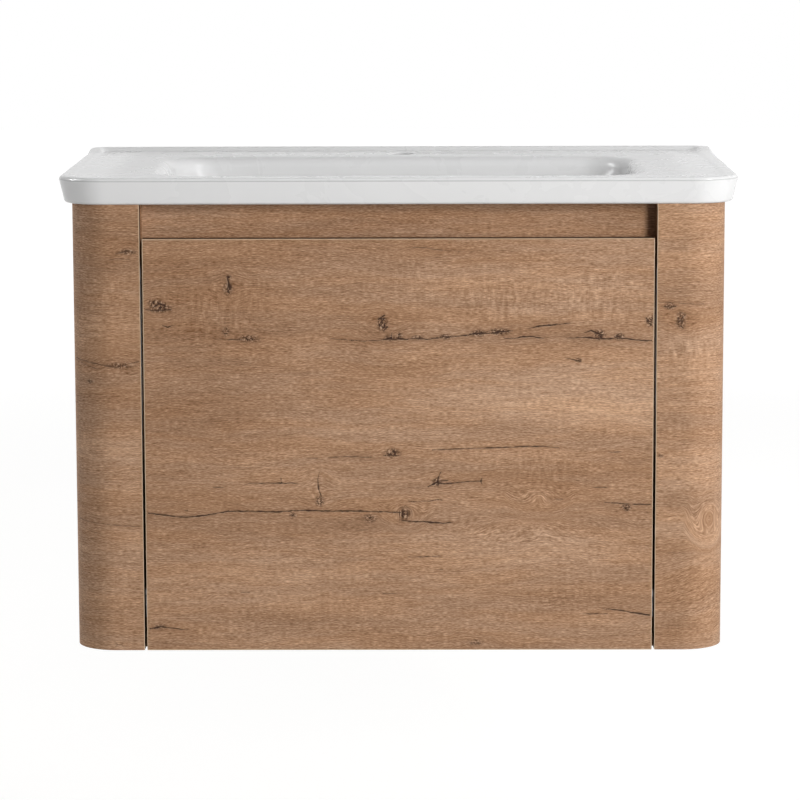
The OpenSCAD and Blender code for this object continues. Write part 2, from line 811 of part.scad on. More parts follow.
// Side view, with the wall at y = 0: an arm whose notch sits on the lip of the wall plate
module hanger_hook(side) {
    arm_y0 = housing_y0 + 9;
    nose_y0 = plate_t - lip_out + slide_gap;
    nose_y1 = nose_y0 + nose_t;
    tab_w = 10;
    top = lip_top + arm_h;
    round_r = 3;
    hole_in = 11;
    hole_r = 2.5;
    color(steel) on_side(side) translate([hook_x - hook_t / 2, 0, 0]) rotate([90, 0, 90]) {
        linear_extrude(hook_t) difference() {
            union() {
                translate([arm_y0, lip_top]) square([nose_y1 - round_r - arm_y0, arm_h]);
                translate([nose_y0, lip_top - nose_h]) square([nose_t, arm_h + nose_h - round_r]);
                translate([nose_y1 - round_r, top - round_r]) circle(r = round_r);
                translate([-lip_out - tab_w, lip_top - nose_h]) square([tab_w - slide_gap, nose_h + cut]);
            }
            translate([arm_y0 + hole_in, lip_top + arm_h / 2]) circle(r = hole_r);
        }
    }
}

// Sheet steel, flat on the wall and joggled out to an upright lip
module wall_plate(side) {
    joggle_h = 10;
    lip_low_z = lip_top - lip_h;
    flat_top_z = lip_low_z - joggle_h;
    flat_low_z = -plate_screw_pitch / 2 - plate_foot;
    bend = 1;
    color(steel) on_side(side) difference() {
        translate([hook_x - plate_w / 2, 0, 0]) rotate([90, 0, 90]) linear_extrude(plate_w) polygon([
            [0, flat_low_z], [0, flat_top_z], [plate_t - lip_out, lip_low_z], [plate_t - lip_out, lip_top],
            [-lip_out, lip_top], [-lip_out, lip_low_z - bend],
            [-plate_t, flat_top_z - bend], [-plate_t, flat_low_z]
        ]);
        for (z = [-1, 1] * plate_screw_pitch / 2) {
            rod([hook_x, -plate_t - cut, z], "y", plate_hole_d / 2, plate_t + 2 * cut);
        }
    }
}

module height_screw(side) {
    head_r = 5;
    head_h = 4;
    cross_l = 6;
    cross_w = 1.5;
    cross_h = 2;
    color(steel) on_side(side) translate([hook_x, housing_y0, adjust_z]) rotate([-90, 0, 0]) difference() {
        union() {
            cylinder(r = adjust_r, h = adjust_l);
            translate([0, 0, -head_h]) cylinder(r = head_r, h = head_h);
        }
        for (turn = [0, 90]) rotate(turn) {
            translate([-cross_l / 2, -cross_w / 2, -head_h - cut]) cube([cross_l, cross_w, cross_h + cut]);
        }
    }
}

// ---- Runners: a member on the inner side, one under the drawer, and one between on caged rollers ----

// A piece of sheet or bar along the runner
module along_runner(x0, x1, z0, z1) {
    block([x0, runner_front_y, z0], [x1, runner_back_y, z1]);
}

module runner_cabinet(side) {
    color(steel) on_side(side) difference() {
        union() {
            along_runner(channel_x0, half_open, runner_z, runner_z + sheet_t);
            along_runner(channel_x0, channel_x0 + sheet_t, runner_z, runner_z + channel_h);
            along_runner(channel_x1 - sheet_t, channel_x1, runner_z, runner_z + channel_h);
            along_runner(half_open - sheet_t, half_open, runner_z, runner_z + flange_h);
        }
        at_runner_screws() screw_hole(runner_screw_l);
    }
}

module runner_middle(side) {
    x0 = channel_x - middle_w / 2;
    x1 = channel_x + middle_w / 2;
    y1 = middle_front_y + middle_l;
    color(steel) on_side(side) difference() {
        block([x0, middle_front_y, middle_z], [x1, y1, middle_z + middle_h]);
        block(
            [x0 + sheet_t, middle_front_y - cut, middle_z + sheet_t],
            [x1 - sheet_t, y1 + cut, middle_z + middle_h - sheet_t]
        );
    }
}

// The window in its wall takes the catch of the release lever
module runner_drawer(side) {
    low_z = runner_z + channel_h + channel_gap;
    window_y = catch_y - catch_l / 2 - catch_room;
    color(steel) on_side(side) difference() {
        union() {
            along_runner(channel_x0, channel_x1, drawer_member_top - sheet_t, drawer_member_top);
            along_runner(channel_x0, channel_x0 + sheet_t, low_z, drawer_member_top);
            along_runner(channel_x1 - sheet_t, channel_x1, low_z, drawer_member_top);
        }
        translate([channel_x0 - cut, window_y, catch_z - slide_gap]) {
            cube([sheet_t + 2 * cut, catch_l + 2 * catch_room, lever_t + 2 * slide_gap]);
        }
    }
}

module at_rollers() {
    for (i = [0 : roller_count - 1]) {
        translate([channel_x, cage_front_y + (i + 0.5) * roller_pitch, 0]) children();
    }
}

module cage(side, z) {
    x = middle_w / 2;
    window_x = roller_w / 2 + slide_gap;
    window_y = roller_r + slide_gap;
    color(plastic) on_side(side) {
        difference() {
            block(
                [channel_x - x, cage_front_y, z - cage_t / 2],
                [channel_x + x, cage_front_y + cage_l, z + cage_t / 2]
            );
            at_rollers() block([-window_x, -window_y, z - cage_t], [window_x, window_y, z + cage_t]);
        }
        at_rollers() rod([-roller_w / 2, 0, z], "x", roller_r, roller_w);
    }
}

// A small cylinder lying on the cabinet member, on two feet, with the hole for its rod in front
module soft_close(side) {
    x = (channel_x1 + half_open - sheet_t) / 2;
    z = runner_z + sheet_t + slide_gap + damper_r;
    y0 = runner_back_y - damper_in - damper_l;
    foot_l = 6;
    foot_in = 10;
    hole_r = 1.3;
    hole_l = 28;
    color(plastic) on_side(side) difference() {
        union() {
            rod([x, y0, z], "y", damper_r, damper_l);
            for (y = [y0 + foot_in, y0 + damper_l - foot_in - foot_l]) {
                block([x - damper_r, y, runner_z + sheet_t], [x + damper_r, y + foot_l, z]);
            }
        }
        rod([x, y0 - cut, z], "y", hole_r, hole_l);
    }
}

module front_bumpers() {
    color(plastic) both_sides() {
        rod([half_open - bumper_in, box_front_y, under_z + base_t / 2], "y", bumper_r, bumper_t);
    }
}

// ---- Drawer ----

module drawer_front() {
    x = front_w / 2 - band_t;
    color(oak) difference() {
        block([-x, front_y, under_z + band_t], [x, box_front_y, under_z + front_h - band_t]);
        both_sides() at_bracket_screws() screw_hole(bracket_screw_l);
    }
}

module front_edge_band() {
    x = front_w / 2;
    color(oak_band) translate([0, box_front_y, under_z]) rotate([90, 0, 0]) linear_extrude(front_t)
    difference() {
        translate([-x, 0]) square([front_w, front_h]);
        translate([band_t - x, band_t]) square([front_w - 2 * band_t, front_h - 2 * band_t]);
    }
}

module front_bracket(side) {
    z0 = floor_z + bracket_lift;
    z1 = z0 + bracket_h;
    color(steel) on_side(side) difference() {
        union() {
            block([box_inner - bracket_w, box_front_y, z0], [box_inner, box_front_y + bracket_t, z1]);
            block([box_inner - bracket_t, box_front_y, z0], [box_inner, box_front_y + bracket_w, z1]);
        }
        at_bracket_screws() screw_hole(bracket_screw_l);
    }
}

module drawer_side(side) {
    color(board) on_side(side) difference() {
        block([box_inner, box_front_y, side_low_z], [box_outer, box_back_y, side_top_z]);
        at_box_screws() screw_hole(box_screw_l);
        at_bracket_screws() screw_hole(bracket_screw_l);
    }
}

module drawer_bottom() {
    color(board) difference() {
        translate([0, 0, drawer_member_top]) linear_extrude(box_t) difference() {
            translate([-box_inner, box_front_y]) square([2 * box_inner, box_l]);
            translate([-well_w / 2, well_front_y + well_r]) square([well_w, well_l + cut]);
            translate([-well_w / 2 + well_r, well_front_y]) square([well_w - 2 * well_r, well_l]);
            for (x = [-1, 1]) {
                translate([x * (well_w / 2 - well_r), well_front_y + well_r]) circle(r = well_r);
            }
        }
        both_sides() at_box_screws() screw_hole(box_screw_l);
    }
}

module drawer_back(side) {
    color(board) on_side(side) difference() {
        block([well_w / 2 + well_t, box_back_y - box_t, floor_z], [box_inner, box_back_y, back_top_z]);
        at_box_screws() screw_hole(box_screw_l);
    }
}

module well_cheek(side) {
    color(board) on_side(side) {
        block([well_w / 2, well_front_y, floor_z], [well_w / 2 + well_t, box_back_y, back_top_z]);
    }
}

module well_front() {
    x = well_w / 2 + well_t;
    color(board) block([-x, well_front_y - well_t, floor_z], [x, well_front_y, back_top_z]);
}

// ---- Lock clips under the drawer bottom, with their release levers ----

// A slot, open in front and at both sides, leaves the lever free to swing
module lock_clip(side) {
    color(plastic) on_side(side) difference() {
        block([clip_x0, runner_front_y, clip_z0], [clip_x1, clip_y1, drawer_member_top]);
        block(
            [clip_x0 - cut, runner_front_y - cut, catch_z - slide_gap],
            [clip_x1 + cut, clip_y1 - clip_web, catch_z + lever_t + slide_gap]
        );
        rod([pin_x, pin_y, clip_z0 - cut], "z", lever_pin_r + running_gap, clip_h - clip_web + cut);
    }
}

module lever_pins() {
    color(steel) both_sides() rod([pin_x, pin_y, clip_z0], "z", lever_pin_r, clip_h - clip_web - running_gap);
}

module release_lever(side) {
    eye_t = 3;
    color(lever_colour) on_side(side) translate([0, 0, catch_z]) linear_extrude(lever_t) difference() {
        union() {
            translate([pin_x, pin_y]) circle(r = lever_pin_r + eye_t);
            translate([pin_x - lever_w / 2, runner_front_y]) square([lever_w, pin_y - runner_front_y]);
            translate([pin_x, catch_y - catch_l / 2]) square([clip_x1 + sheet_t - pin_x, catch_l]);
        }
        translate([pin_x, pin_y]) circle(r = lever_pin_r + running_gap);
    }
}

// ---- What each node draws ----

curved_side(-1);  // curved_side_left
curved_side(1);  // curved_side_right
return_edge_bands();
inner_side(-1);  // inner_side_left
inner_side(1);  // inner_side_right
base_panel();
top_filler(-1);  // top_filler_left
top_filler(1);  // top_filler_right
rear_filler(-1);  // rear_filler_left
rear_filler(1);  // rear_filler_right
recess_rail();
rear_top_rail();
rear_bottom_rail();
cam_fittings();
cam_bolts();
base_screws();
basin();
hanger_housing(-1);  // hanger_housing_left
hanger_housing(1);  // hanger_housing_right
hanger_housing_screws();
hanger_hook(-1);  // hanger_hook_left
hanger_hook(1);  // hanger_hook_right
wall_plate(-1);  // wall_plate_left
wall_plate(1);  // wall_plate_right
height_screw(-1);  // height_screw_left
height_screw(1);  // height_screw_right
runner_cabinet(-1);  // runner_cabinet_left
runner_cabinet(1);  // runner_cabinet_right
runner_screws();
soft_close(-1);  // soft_close_left
soft_close(1);  // soft_close_right
front_bumpers();
runner_middle(-1);  // runner_middle_left
runner_middle(1);  // runner_middle_right
cage(-1, lower_roller_z);  // cage_lower_left
cage(1, lower_roller_z);  // cage_lower_right
cage(-1, upper_roller_z);  // cage_upper_left
cage(1, upper_roller_z);  // cage_upper_right
runner_drawer(-1);  // runner_drawer_left
runner_drawer(1);  // runner_drawer_right
drawer_front();
front_edge_band();
front_bracket(-1);  // front_bracket_left
front_bracket(1);  // front_bracket_right
front_screws();
drawer_side(-1);  // drawer_side_left
drawer_side(1);  // drawer_side_right
drawer_bottom();
drawer_back(-1);  // drawer_back_left
drawer_back(1);  // drawer_back_right
well_cheek(-1);  // well_cheek_left
well_cheek(1);  // well_cheek_right
well_front();
box_screws();
lock_clip(-1);  // lock_clip_left
lock_clip(1);  // lock_clip_right
lever_pins();
release_lever(-1);  // release_lever_left
release_lever(1);  // release_lever_right
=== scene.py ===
"""Look of the wall-hung washbasin cabinet: ceramic basin, oak boards bent round the corners, deep drawer.

Metres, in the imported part's frame: +X to the right seen from the front, +Y into the wall, +Z up.
"""

from __future__ import annotations

import json
import logging
import math
from dataclasses import dataclass, field
from enum import Enum
from typing import Iterable, Sequence

import bpy
import numpy as np
from mathutils import Matrix, Vector
from mathutils.geometry import delaunay_2d_cdt


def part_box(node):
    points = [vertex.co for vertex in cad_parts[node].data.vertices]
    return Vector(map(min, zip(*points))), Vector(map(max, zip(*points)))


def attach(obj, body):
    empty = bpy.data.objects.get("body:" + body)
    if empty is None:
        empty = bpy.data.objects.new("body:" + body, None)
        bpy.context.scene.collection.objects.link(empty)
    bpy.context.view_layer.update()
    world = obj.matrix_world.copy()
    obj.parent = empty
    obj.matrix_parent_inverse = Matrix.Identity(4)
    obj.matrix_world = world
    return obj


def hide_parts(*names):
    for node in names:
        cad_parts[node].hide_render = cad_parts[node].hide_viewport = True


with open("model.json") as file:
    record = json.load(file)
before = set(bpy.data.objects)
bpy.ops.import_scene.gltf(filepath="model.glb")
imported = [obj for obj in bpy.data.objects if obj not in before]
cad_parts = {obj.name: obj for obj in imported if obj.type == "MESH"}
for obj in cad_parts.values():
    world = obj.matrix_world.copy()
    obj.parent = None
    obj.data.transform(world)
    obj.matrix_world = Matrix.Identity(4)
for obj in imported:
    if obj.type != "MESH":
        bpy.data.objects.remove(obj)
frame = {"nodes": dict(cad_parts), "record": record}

LOG = logging.getLogger("vanity")

FlatPoint = tuple[float, float]
Point = tuple[float, float, float]
Colour = tuple[float, float, float]
Ring = list[Point]
Faces = list[list[int]]
Shape = tuple[list[Point], Faces]
Socket = bpy.types.NodeSocket


class Slot(Enum):
    """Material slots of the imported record."""

    OAK = "oak_decor"
    OAK_EDGE = "oak_edge"
    BOARD = "white_board"
    GLAZE = "basin_glaze"
    GALVANISED = "galvanised_steel"
    ZINC = "zinc_plated_steel"
    GREY_PLASTIC = "grey_plastic"
    DARK_PLASTIC = "dark_plastic"
    RUBBER = "bumper_rubber"


class Side(Enum):
    """Left and right half, seen from the front."""

    LEFT = -1
    RIGHT = 1


def linear(red: int, green: int, blue: int) -> Colour:
    """Turns a colour as seen on a screen (0 to 255) into the linear values that shaders take.

    Args:
        red: Red, 0 to 255.
        green: Green, 0 to 255.
        blue: Blue, 0 to 255.

    Returns:
        The linear colour.
    """
    return tuple(
        (c / 255 / 12.92) if c / 255 <= 0.04045 else ((c / 255 + 0.055) / 1.055) ** 2.4
        for c in (red, green, blue)
    )


# ---- Node trees ----


class Tree:
    """A node tree under construction, with short calls for the nodes that this scene uses."""

    def __init__(self, tree: bpy.types.NodeTree) -> None:
        """Wraps the tree that new nodes go into."""
        self.tree = tree

    def node(self, kind: str, inputs: dict | None = None, **settings: object) -> bpy.types.Node:
        """Adds a node, sets its properties, and sets or links its inputs.

        Args:
            kind: The node's type name.
            inputs: Values or output sockets by input name or index.
            **settings: The node's own properties.

        Returns:
            The new node.
        """
        made = self.tree.nodes.new(kind)
        for name, value in settings.items():
            setattr(made, name, value)
        for key, value in (inputs or {}).items():
            self.feed(made.inputs[key], value)
        return made

    def feed(self, socket: Socket, value: object) -> None:
        """Links an output to a socket, or sets the socket's own value."""
        if isinstance(value, bpy.types.NodeSocket):
            self.tree.links.new(value, socket)
        elif isinstance(value, tuple) and socket.type == "RGBA":
            socket.default_value = (*value[:3], 1.0)
        else:
            socket.default_value = value

    def feed_named(self, node: bpy.types.Node, values: dict[str, object]) -> None:
        """Feeds a node's inputs by name; underscores in the names stand for spaces."""
        for name, value in values.items():
            self.feed(node.inputs[name.replace("_", " ")], value)

    def math(self, operation: str, *values: object, clamp: bool = False) -> Socket:
        """A Math node's output.

        Args:
            operation: The node's operation.
            *values: Its inputs, in order.
            clamp: Whether the result is held between 0 and 1.

        Returns:
            The output socket.
        """
        made = self.node("ShaderNodeMath", dict(enumerate(values)), operation=operation, use_clamp=clamp)
        return made.outputs[0]

    def vector(self, operation: str, *values: object, out: str = "Vector") -> Socket:
        """A Vector Math node's output, Vector, or Value for a length."""
        return self.node("ShaderNodeVectorMath", dict(enumerate(values)), operation=operation).outputs[out]

    def noise(self, vector: object, scale: float | Point | Socket, detail: float = 2.0, rough: float = 0.5,
              warp: float = 0.0, out: str = "Fac") -> Socket:
        """A Noise Texture's output.

        Args:
            vector: Where it is read.
            scale: Its scale, or one scale for each axis.
            detail: Number of finer layers.
            rough: Strength of the finer layers.
            warp: Its distortion.
            out: Fac for one value, Color for three.

        Returns:
            The output socket.
        """
        if isinstance(scale, tuple):
            vector, scale = self.vector("MULTIPLY", vector, scale), 1.0
        return self.node("ShaderNodeTexNoise", {
            "Vector": vector, "Scale": scale, "Detail": detail, "Roughness": rough, "Distortion": warp,
        }).outputs[out]

    def span(self, value: object, low: float, high: float, to_low: float = 0.0,
             to_high: float = 1.0) -> Socket:
        """A value moved from one range to another with an eased way between, and held there.

        Args:
            value: The value.
            low: Start of its range.
            high: End of its range.
            to_low: Result at the start.
            to_high: Result at the end.

        Returns:
            The output socket.
        """
        return self.node("ShaderNodeMapRange", {
            "Value": value, "From Min": low, "From Max": high, "To Min": to_low, "To Max": to_high,
        }, interpolation_type="SMOOTHSTEP", clamp=True).outputs["Result"]

    def mix(self, share: object, first: object, second: object, blend: str = "MIX") -> Socket:
        """Two colours mixed.

        Args:
            share: Share of the second, 0 to 1.
            first: First colour.
            second: Second colour.
            blend: How they mix.

        Returns:
            The colour output.
        """
        made = self.node("ShaderNodeMix", {"Factor": share}, data_type="RGBA", blend_type=blend)
        for socket, colour in zip((s for s in made.inputs if s.type == "RGBA"), (first, second)):
            self.feed(socket, colour)
        return next(s for s in made.outputs if s.type == "RGBA")

    def cover(self, mask: Socket, share: float, colour: object, layer: Colour) -> Socket:
        """A colour with a share of another laid over it where a mask says."""
        return self.mix(self.math("MULTIPLY", mask, share), colour, layer)

    def ramp(self, value: object, dark: Colour, middle: Colour, light: Colour) -> Socket:
        """A colour ramp from dark at 0 over the middle at a half to light at 1.

        Args:
            value: Where on the ramp.
            dark: Colour at 0.
            middle: Colour at a half.
            light: Colour at 1.

        Returns:
            The colour output.
        """
        made = self.node("ShaderNodeValToRGB", {0: value})
        stops = made.color_ramp.elements
        stops[0].position, stops[0].color = 0.0, (*dark, 1.0)
        stops[1].position, stops[1].color = 1.0, (*light, 1.0)
        stops.new(0.5).color = (*middle, 1.0)
        return made.outputs["Color"]

    def carried(self, name: str, out: str = "Fac") -> Socket:
        """What the mesh carries under a name, as one value, or as three with Vector."""
        return self.node("ShaderNodeAttribute", attribute_name=name).outputs[out]

    def own_place(self) -> Socket:
        """Place in the object's own coordinates."""
        return self.node("ShaderNodeTexCoord").outputs["Object"]

    def axes(self, vector: Socket) -> bpy.types.NodeOutputs:
        """A vector's X, Y and Z."""
        return self.node("ShaderNodeSeparateXYZ", {0: vector}).outputs

    def seen(self) -> Socket:
        """1 for what is seen straight, mirrored or through a clear piece, 0 for what only gives light."""
        rays = self.node("ShaderNodeLightPath").outputs
        seen = self.math("MAXIMUM", rays["Is Camera Ray"], rays["Is Glossy Ray"])
        return self.math("MAXIMUM", seen, rays["Is Transmission Ray"])

    def use(self, group: bpy.types.NodeTree, **values: object) -> bpy.types.NodeOutputs:
        """Places a group.

        Args:
            group: The group.
            **values: What its inputs take; underscores in their names stand for spaces.

        Returns:
            The group's outputs.
        """
        made = self.node("ShaderNodeGroup", node_tree=group)
        self.feed_named(made, values)
        return made.outputs


class GroupTree(Tree):
    """A shader node group under construction."""

    def __init__(self, name: str, **inputs: float | None) -> None:
        """Starts the group.

        Args:
            name: The group's name.
            **inputs: Default of each input; an input without one takes a vector.
        """
        super().__init__(bpy.data.node_groups.new(name, "ShaderNodeTree"))
        for word, default in inputs.items():
            kind = "NodeSocketVector" if default is None else "NodeSocketFloat"
            socket = self.tree.interface.new_socket(word, in_out="INPUT", socket_type=kind)
            if default is not None:
                socket.default_value = default
        self.given = self.node("NodeGroupInput").outputs

    def put_out(self, **values: Socket) -> bpy.types.NodeTree:
        """Makes the group's outputs.

        Args:
            **values: What each output gives.

        Returns:
            The finished group.
        """
        for word in values:
            self.tree.interface.new_socket(word, in_out="OUTPUT", socket_type="NodeSocketFloat")
        self.feed_named(self.node("NodeGroupOutput"), values)
        return self.tree


def oak_grain() -> bpy.types.NodeTree:
    """Oak grain that runs along the first coordinate, in metres.

    Returns:
        The group: Tone (0.5 in the middle, a tenth is a visible step), Coolness (0 to 1) and Height.
    """
    tree = GroupTree("oak_grain", Vector=None, Seed=0.0, Flake=0.0)
    seed = tree.node("ShaderNodeCombineXYZ", {0: tree.given["Seed"], 2: tree.given["Seed"]})
    place = tree.vector("ADD", tree.given["Vector"], seed.outputs[0])
    sway = tree.noise(place, (9.0, 13.0, 5.0), out="Color")
    flow = tree.vector("MULTIPLY_ADD", sway, (0.0, 0.016, 0.0), place)
    curl = tree.noise(flow, (45.0, 60.0, 40.0), 1.0, out="Color")
    flow = tree.vector("MULTIPLY_ADD", curl, (0.0, 0.0024, 0.0), flow)
    ripple = tree.noise(flow, (46.0, 660.0, 200.0), rough=0.62)
    grit = tree.noise(flow, (190.0, 1150.0, 300.0), 1.0)
    pores = tree.noise(flow, (42.0, 760.0, 200.0), 1.0)
    streak = tree.noise(flow, (14.0, 190.0, 40.0), 3.0, 0.6)
    band = tree.noise(flow, (4.0, 34.0, 8.0), 3.0)
    broad = tree.noise(flow, (1.6, 9.0, 3.0))
    hue = tree.noise(flow, (5.0, 46.0, 9.0), 3.0, 0.6)
    fleck = tree.noise(place, (190.0, 46.0, 60.0), 3.0, 0.6, warp=0.5)
    tone: object = 0.5
    for value, weight in ((ripple, 0.86), (grit, 1.15), (streak, 0.38), (band, 0.36), (broad, 0.46)):
        tone = tree.math("ADD", tone, tree.math("MULTIPLY_ADD", value, weight, -weight / 2))
    tone = tree.math("SUBTRACT", tone, tree.span(pores, 0.60, 0.76, 0.0, 0.13))
    flakes = tree.math("MULTIPLY", tree.math("MULTIPLY_ADD", fleck, 0.9, -0.46), tree.given["Flake"])
    return tree.put_out(Tone=tree.math("ADD", tone, flakes), Coolness=tree.span(hue, 0.36, 0.64),
                        Height=tree.math("MULTIPLY_ADD", grit, 0.5, ripple))


def handling_marks() -> bpy.types.NodeTree:
    """Faint smears and dust left by hands and the workshop.

    Returns:
        The group: Smear and Dust.
    """
    tree = GroupTree("handling_marks", Vector=None, Scale=1.0)
    place = tree.node("ShaderNodeVectorMath", {0: tree.given["Vector"], "Scale": tree.given["Scale"]},
                      operation="SCALE").outputs[0]
    smear = tree.noise(place, 22.0, 4.0, 0.6, warp=0.8)
    grit = tree.noise(place, 900.0)
    cloud = tree.noise(place, 7.0)
    dust = tree.math("MULTIPLY", tree.span(grit, 0.56, 0.74), tree.span(cloud, 0.40, 0.70))
    return tree.put_out(Smear=tree.span(smear, 0.35, 0.70), Dust=dust)


def zinc_spangle() -> bpy.types.NodeTree:
    """Crystal pattern of a hot-dipped zinc coat.

    Returns:
        The group: Tone and Height.
    """
    tree = GroupTree("zinc_spangle", Vector=None, Scale=160.0)
    warp = tree.noise(tree.given["Vector"], 220.0, 1.0, out="Color")
    place = tree.vector("MULTIPLY_ADD", warp, (0.003, 0.003, 0.003), tree.given["Vector"])
    cells = tree.node("ShaderNodeTexVoronoi", {"Vector": place, "Scale": tree.given["Scale"]}).outputs
    tone = tree.node("ShaderNodeSeparateColor", {0: cells["Color"]}).outputs[0]
    return tree.put_out(Tone=tone, Height=cells["Distance"])


def fine_brushing() -> bpy.types.NodeTree:
    """Fine scratches that run along one axis.

    Returns:
        The group: Tone and Height.
    """
    tree = GroupTree("fine_brushing", Vector=None, Stretch=None)
    lines = tree.noise(tree.vector("MULTIPLY", tree.given["Vector"], tree.given["Stretch"]), 1.0, 3.0, 0.7)
    cloud = tree.noise(tree.given["Vector"], 60.0)
    tone = tree.math("MULTIPLY_ADD", cloud, 0.4, tree.math("MULTIPLY", lines, 0.6))
    return tree.put_out(Tone=tone, Height=lines)


def moulded_skin() -> bpy.types.NodeTree:
    """Fine spark-eroded texture of moulded plastic, with faint flow lines.

    Returns:
        The group: Tone and Height.
    """
    tree = GroupTree("moulded_skin", Vector=None, Grit=1600.0)
    grit = tree.noise(tree.given["Vector"], tree.given["Grit"])
    flow = tree.noise(tree.given["Vector"], (30.0, 90.0, 30.0), warp=1.0)
    tone = tree.math("MULTIPLY_ADD", flow, 0.7, tree.math("MULTIPLY", grit, 0.3))
    return tree.put_out(Tone=tone, Height=grit)


@dataclass
class SurfaceGroups:
    """The shader node groups that the finishes share, each built once."""

    grain: bpy.types.NodeTree = field(default_factory=oak_grain)
    handling: bpy.types.NodeTree = field(default_factory=handling_marks)
    spangle: bpy.types.NodeTree = field(default_factory=zinc_spangle)
    brushing: bpy.types.NodeTree = field(default_factory=fine_brushing)
    moulding: bpy.types.NodeTree = field(default_factory=moulded_skin)


# ---- Finishes ----


class Skin(Tree):
    """A material under construction, with its Principled shader."""

    def __init__(self, name: str) -> None:
        """Starts the material under a name."""
        self.material = bpy.data.materials.new(name)
        self.material.use_nodes = True
        super().__init__(self.material.node_tree)
        self.shader = self.tree.nodes["Principled BSDF"]

    def give(self, **values: object) -> None:
        """Sets or links the shader's inputs; underscores in their names stand for spaces."""
        self.feed_named(self.shader, values)

    def raise_surface(self, height: Socket, depth: float) -> None:
        """Feeds a height into the shader's normal; the depth of a full step is in metres."""
        bump = self.node("ShaderNodeBump", {"Height": height, "Strength": 1.0, "Distance": depth})
        self.give(Normal=bump.outputs[0])


@dataclass(frozen=True)
class Finish:
    """A finish: its material's name, and how that material is built."""

    name: str

    def material(self, groups: SurfaceGroups) -> bpy.types.Material:
        """Builds the material.

        Args:
            groups: The shared node groups.

        Returns:
            The material.
        """
        skin = Skin(self.name)
        self.dress(skin, groups)
        return skin.material

    def dress(self, skin: Skin, groups: SurfaceGroups) -> None:
        """Builds the finish into a new material; each kind of finish has its own."""
        raise NotImplementedError


class GrainPlace(Enum):
    """Where a board's grain is read."""

    UNROLLED = "the mesh attribute grain, on the board as it was before bending"
    ALONG_X = "the object's own coordinates, with the grain from side to side"
    ALONG_Y = "the object's own coordinates, with the grain from front to back"


@dataclass(frozen=True)
class OakFinish(Finish):
    """Oak decor with a matt embossed skin: rippled grain, and the figure that its mesh carries."""

    seed: float
    place: GrainPlace = GrainPlace.UNROLLED
    light: Colour = linear(224, 183, 149)
    middle: Colour = linear(170, 131, 100)
    dark: Colour = linear(116, 79, 51)
    crack: Colour = linear(56, 38, 29)
    stain: Colour = linear(118, 85, 61)
    # Colour of the chips' light specks and of the highlight painted along the cracks' lower rims.
    highlight_and_chip_colour: Colour = linear(205, 176, 150)
    coolness: Colour = (0.955, 1.0, 1.07)
    groove: float = 2.0
    gloss: float = 0.25
    ink: float = 0.96
    rough_dark: float = 0.68
    rough_light: float = 0.56
    relief: float = 0.00010

    def dress(self, skin: Skin, groups: SurfaceGroups) -> None:
        """Lays the grain, and over it what the board's mesh carries.

        Args:
            skin: The material under construction.
            groups: The shared node groups.
        """
        board = self._board(skin)
        figured = self.place is GrainPlace.UNROLLED
        flake = skin.carried("flake") if figured else 0.0
        grain = skin.use(groups.grain, Vector=board, Seed=self.seed, Flake=flake)
        tone, height = grain["Tone"], grain["Height"]
        # The carried shade adds the tone patches; on the drawer front they also paint light from the right.
        if figured:
            tone = skin.math("ADD", tone, skin.carried("shade"))
        colour = skin.ramp(tone, self.dark, self.middle, self.light)
        colour = skin.mix(grain["Coolness"], colour, self.coolness, "MULTIPLY")
        if figured:
            colour, line = self._marked(skin, board, colour)
            height = skin.math("MULTIPLY_ADD", line, -self.groove, height)
        rough = skin.span(tone, 0.2, 0.8, self.rough_dark, self.rough_light)
        skin.give(Base_Color=colour, Roughness=rough, Specular_IOR_Level=self.gloss)
        skin.raise_surface(height, self.relief)

    def _marked(self, skin: Skin, board: Socket, colour: Socket) -> tuple[Socket, Socket]:
        """Lays the board's stains, chips and cracks over its grain, with a highlight painted along each
        crack's lower rim.

        Args:
            skin: The material under construction.
            board: Place on the board.
            colour: Colour of the grain.

        Returns:
            The colour, and the depth of the cracks, 0 to 1.
        """
        ragged = skin.noise(board, (150.0, 620.0, 100.0), 3.0, 0.6)
        speck = skin.noise(board, (330.0, 420.0, 100.0), 3.0, 0.7)
        chip = skin.math("MULTIPLY", skin.carried("chip"), 1.5, clamp=True)
        stain = skin.math("MULTIPLY_ADD", chip, 0.6, skin.carried("stain"))
        stain = skin.math("MULTIPLY", stain, skin.span(ragged, 0.3, 0.62, 0.35, 1.0), clamp=True)
        colour = skin.mix(stain, colour, self.stain)
        # Light colour painted along each crack's lower rim as its highlight, and on the light specks of the
        # chips.
        rim_highlight_and_chip = skin.math("MULTIPLY", skin.carried("rim"), skin.span(ragged, 0.40, 0.62, 0.0, 0.6))
        rim_highlight_and_chip = skin.math("MAXIMUM", rim_highlight_and_chip, skin.math("MULTIPLY", chip, skin.span(speck, 0.38, 0.46, 0.8, 0.0)))
        colour = skin.mix(rim_highlight_and_chip, colour, self.highlight_and_chip_colour)
        line = skin.math("ADD", skin.carried("crack"), skin.math("MULTIPLY_ADD", ragged, 0.34, -0.17))
        line = skin.span(line, 0.08, 0.62, 0.0, self.ink)
        pits = skin.math("MULTIPLY", chip, skin.span(speck, 0.49, 0.55, 0.0, self.ink))
        line = skin.math("MAXIMUM", line, pits)
        return skin.mix(line, colour, self.crack), line

    def _board(self, skin: Skin) -> Socket:
        """Place on the board, with the grain along the first coordinate.

        Args:
            skin: The material under construction.

        Returns:
            The place.
        """
        if self.place is GrainPlace.UNROLLED:
            return skin.carried("grain", "Vector")
        own = skin.axes(skin.own_place())
        order = (0, 2, 1) if self.place is GrainPlace.ALONG_X else (1, 2, 0)
        return skin.node("ShaderNodeCombineXYZ", {k: own[axis] for k, axis in enumerate(order)}).outputs[0]


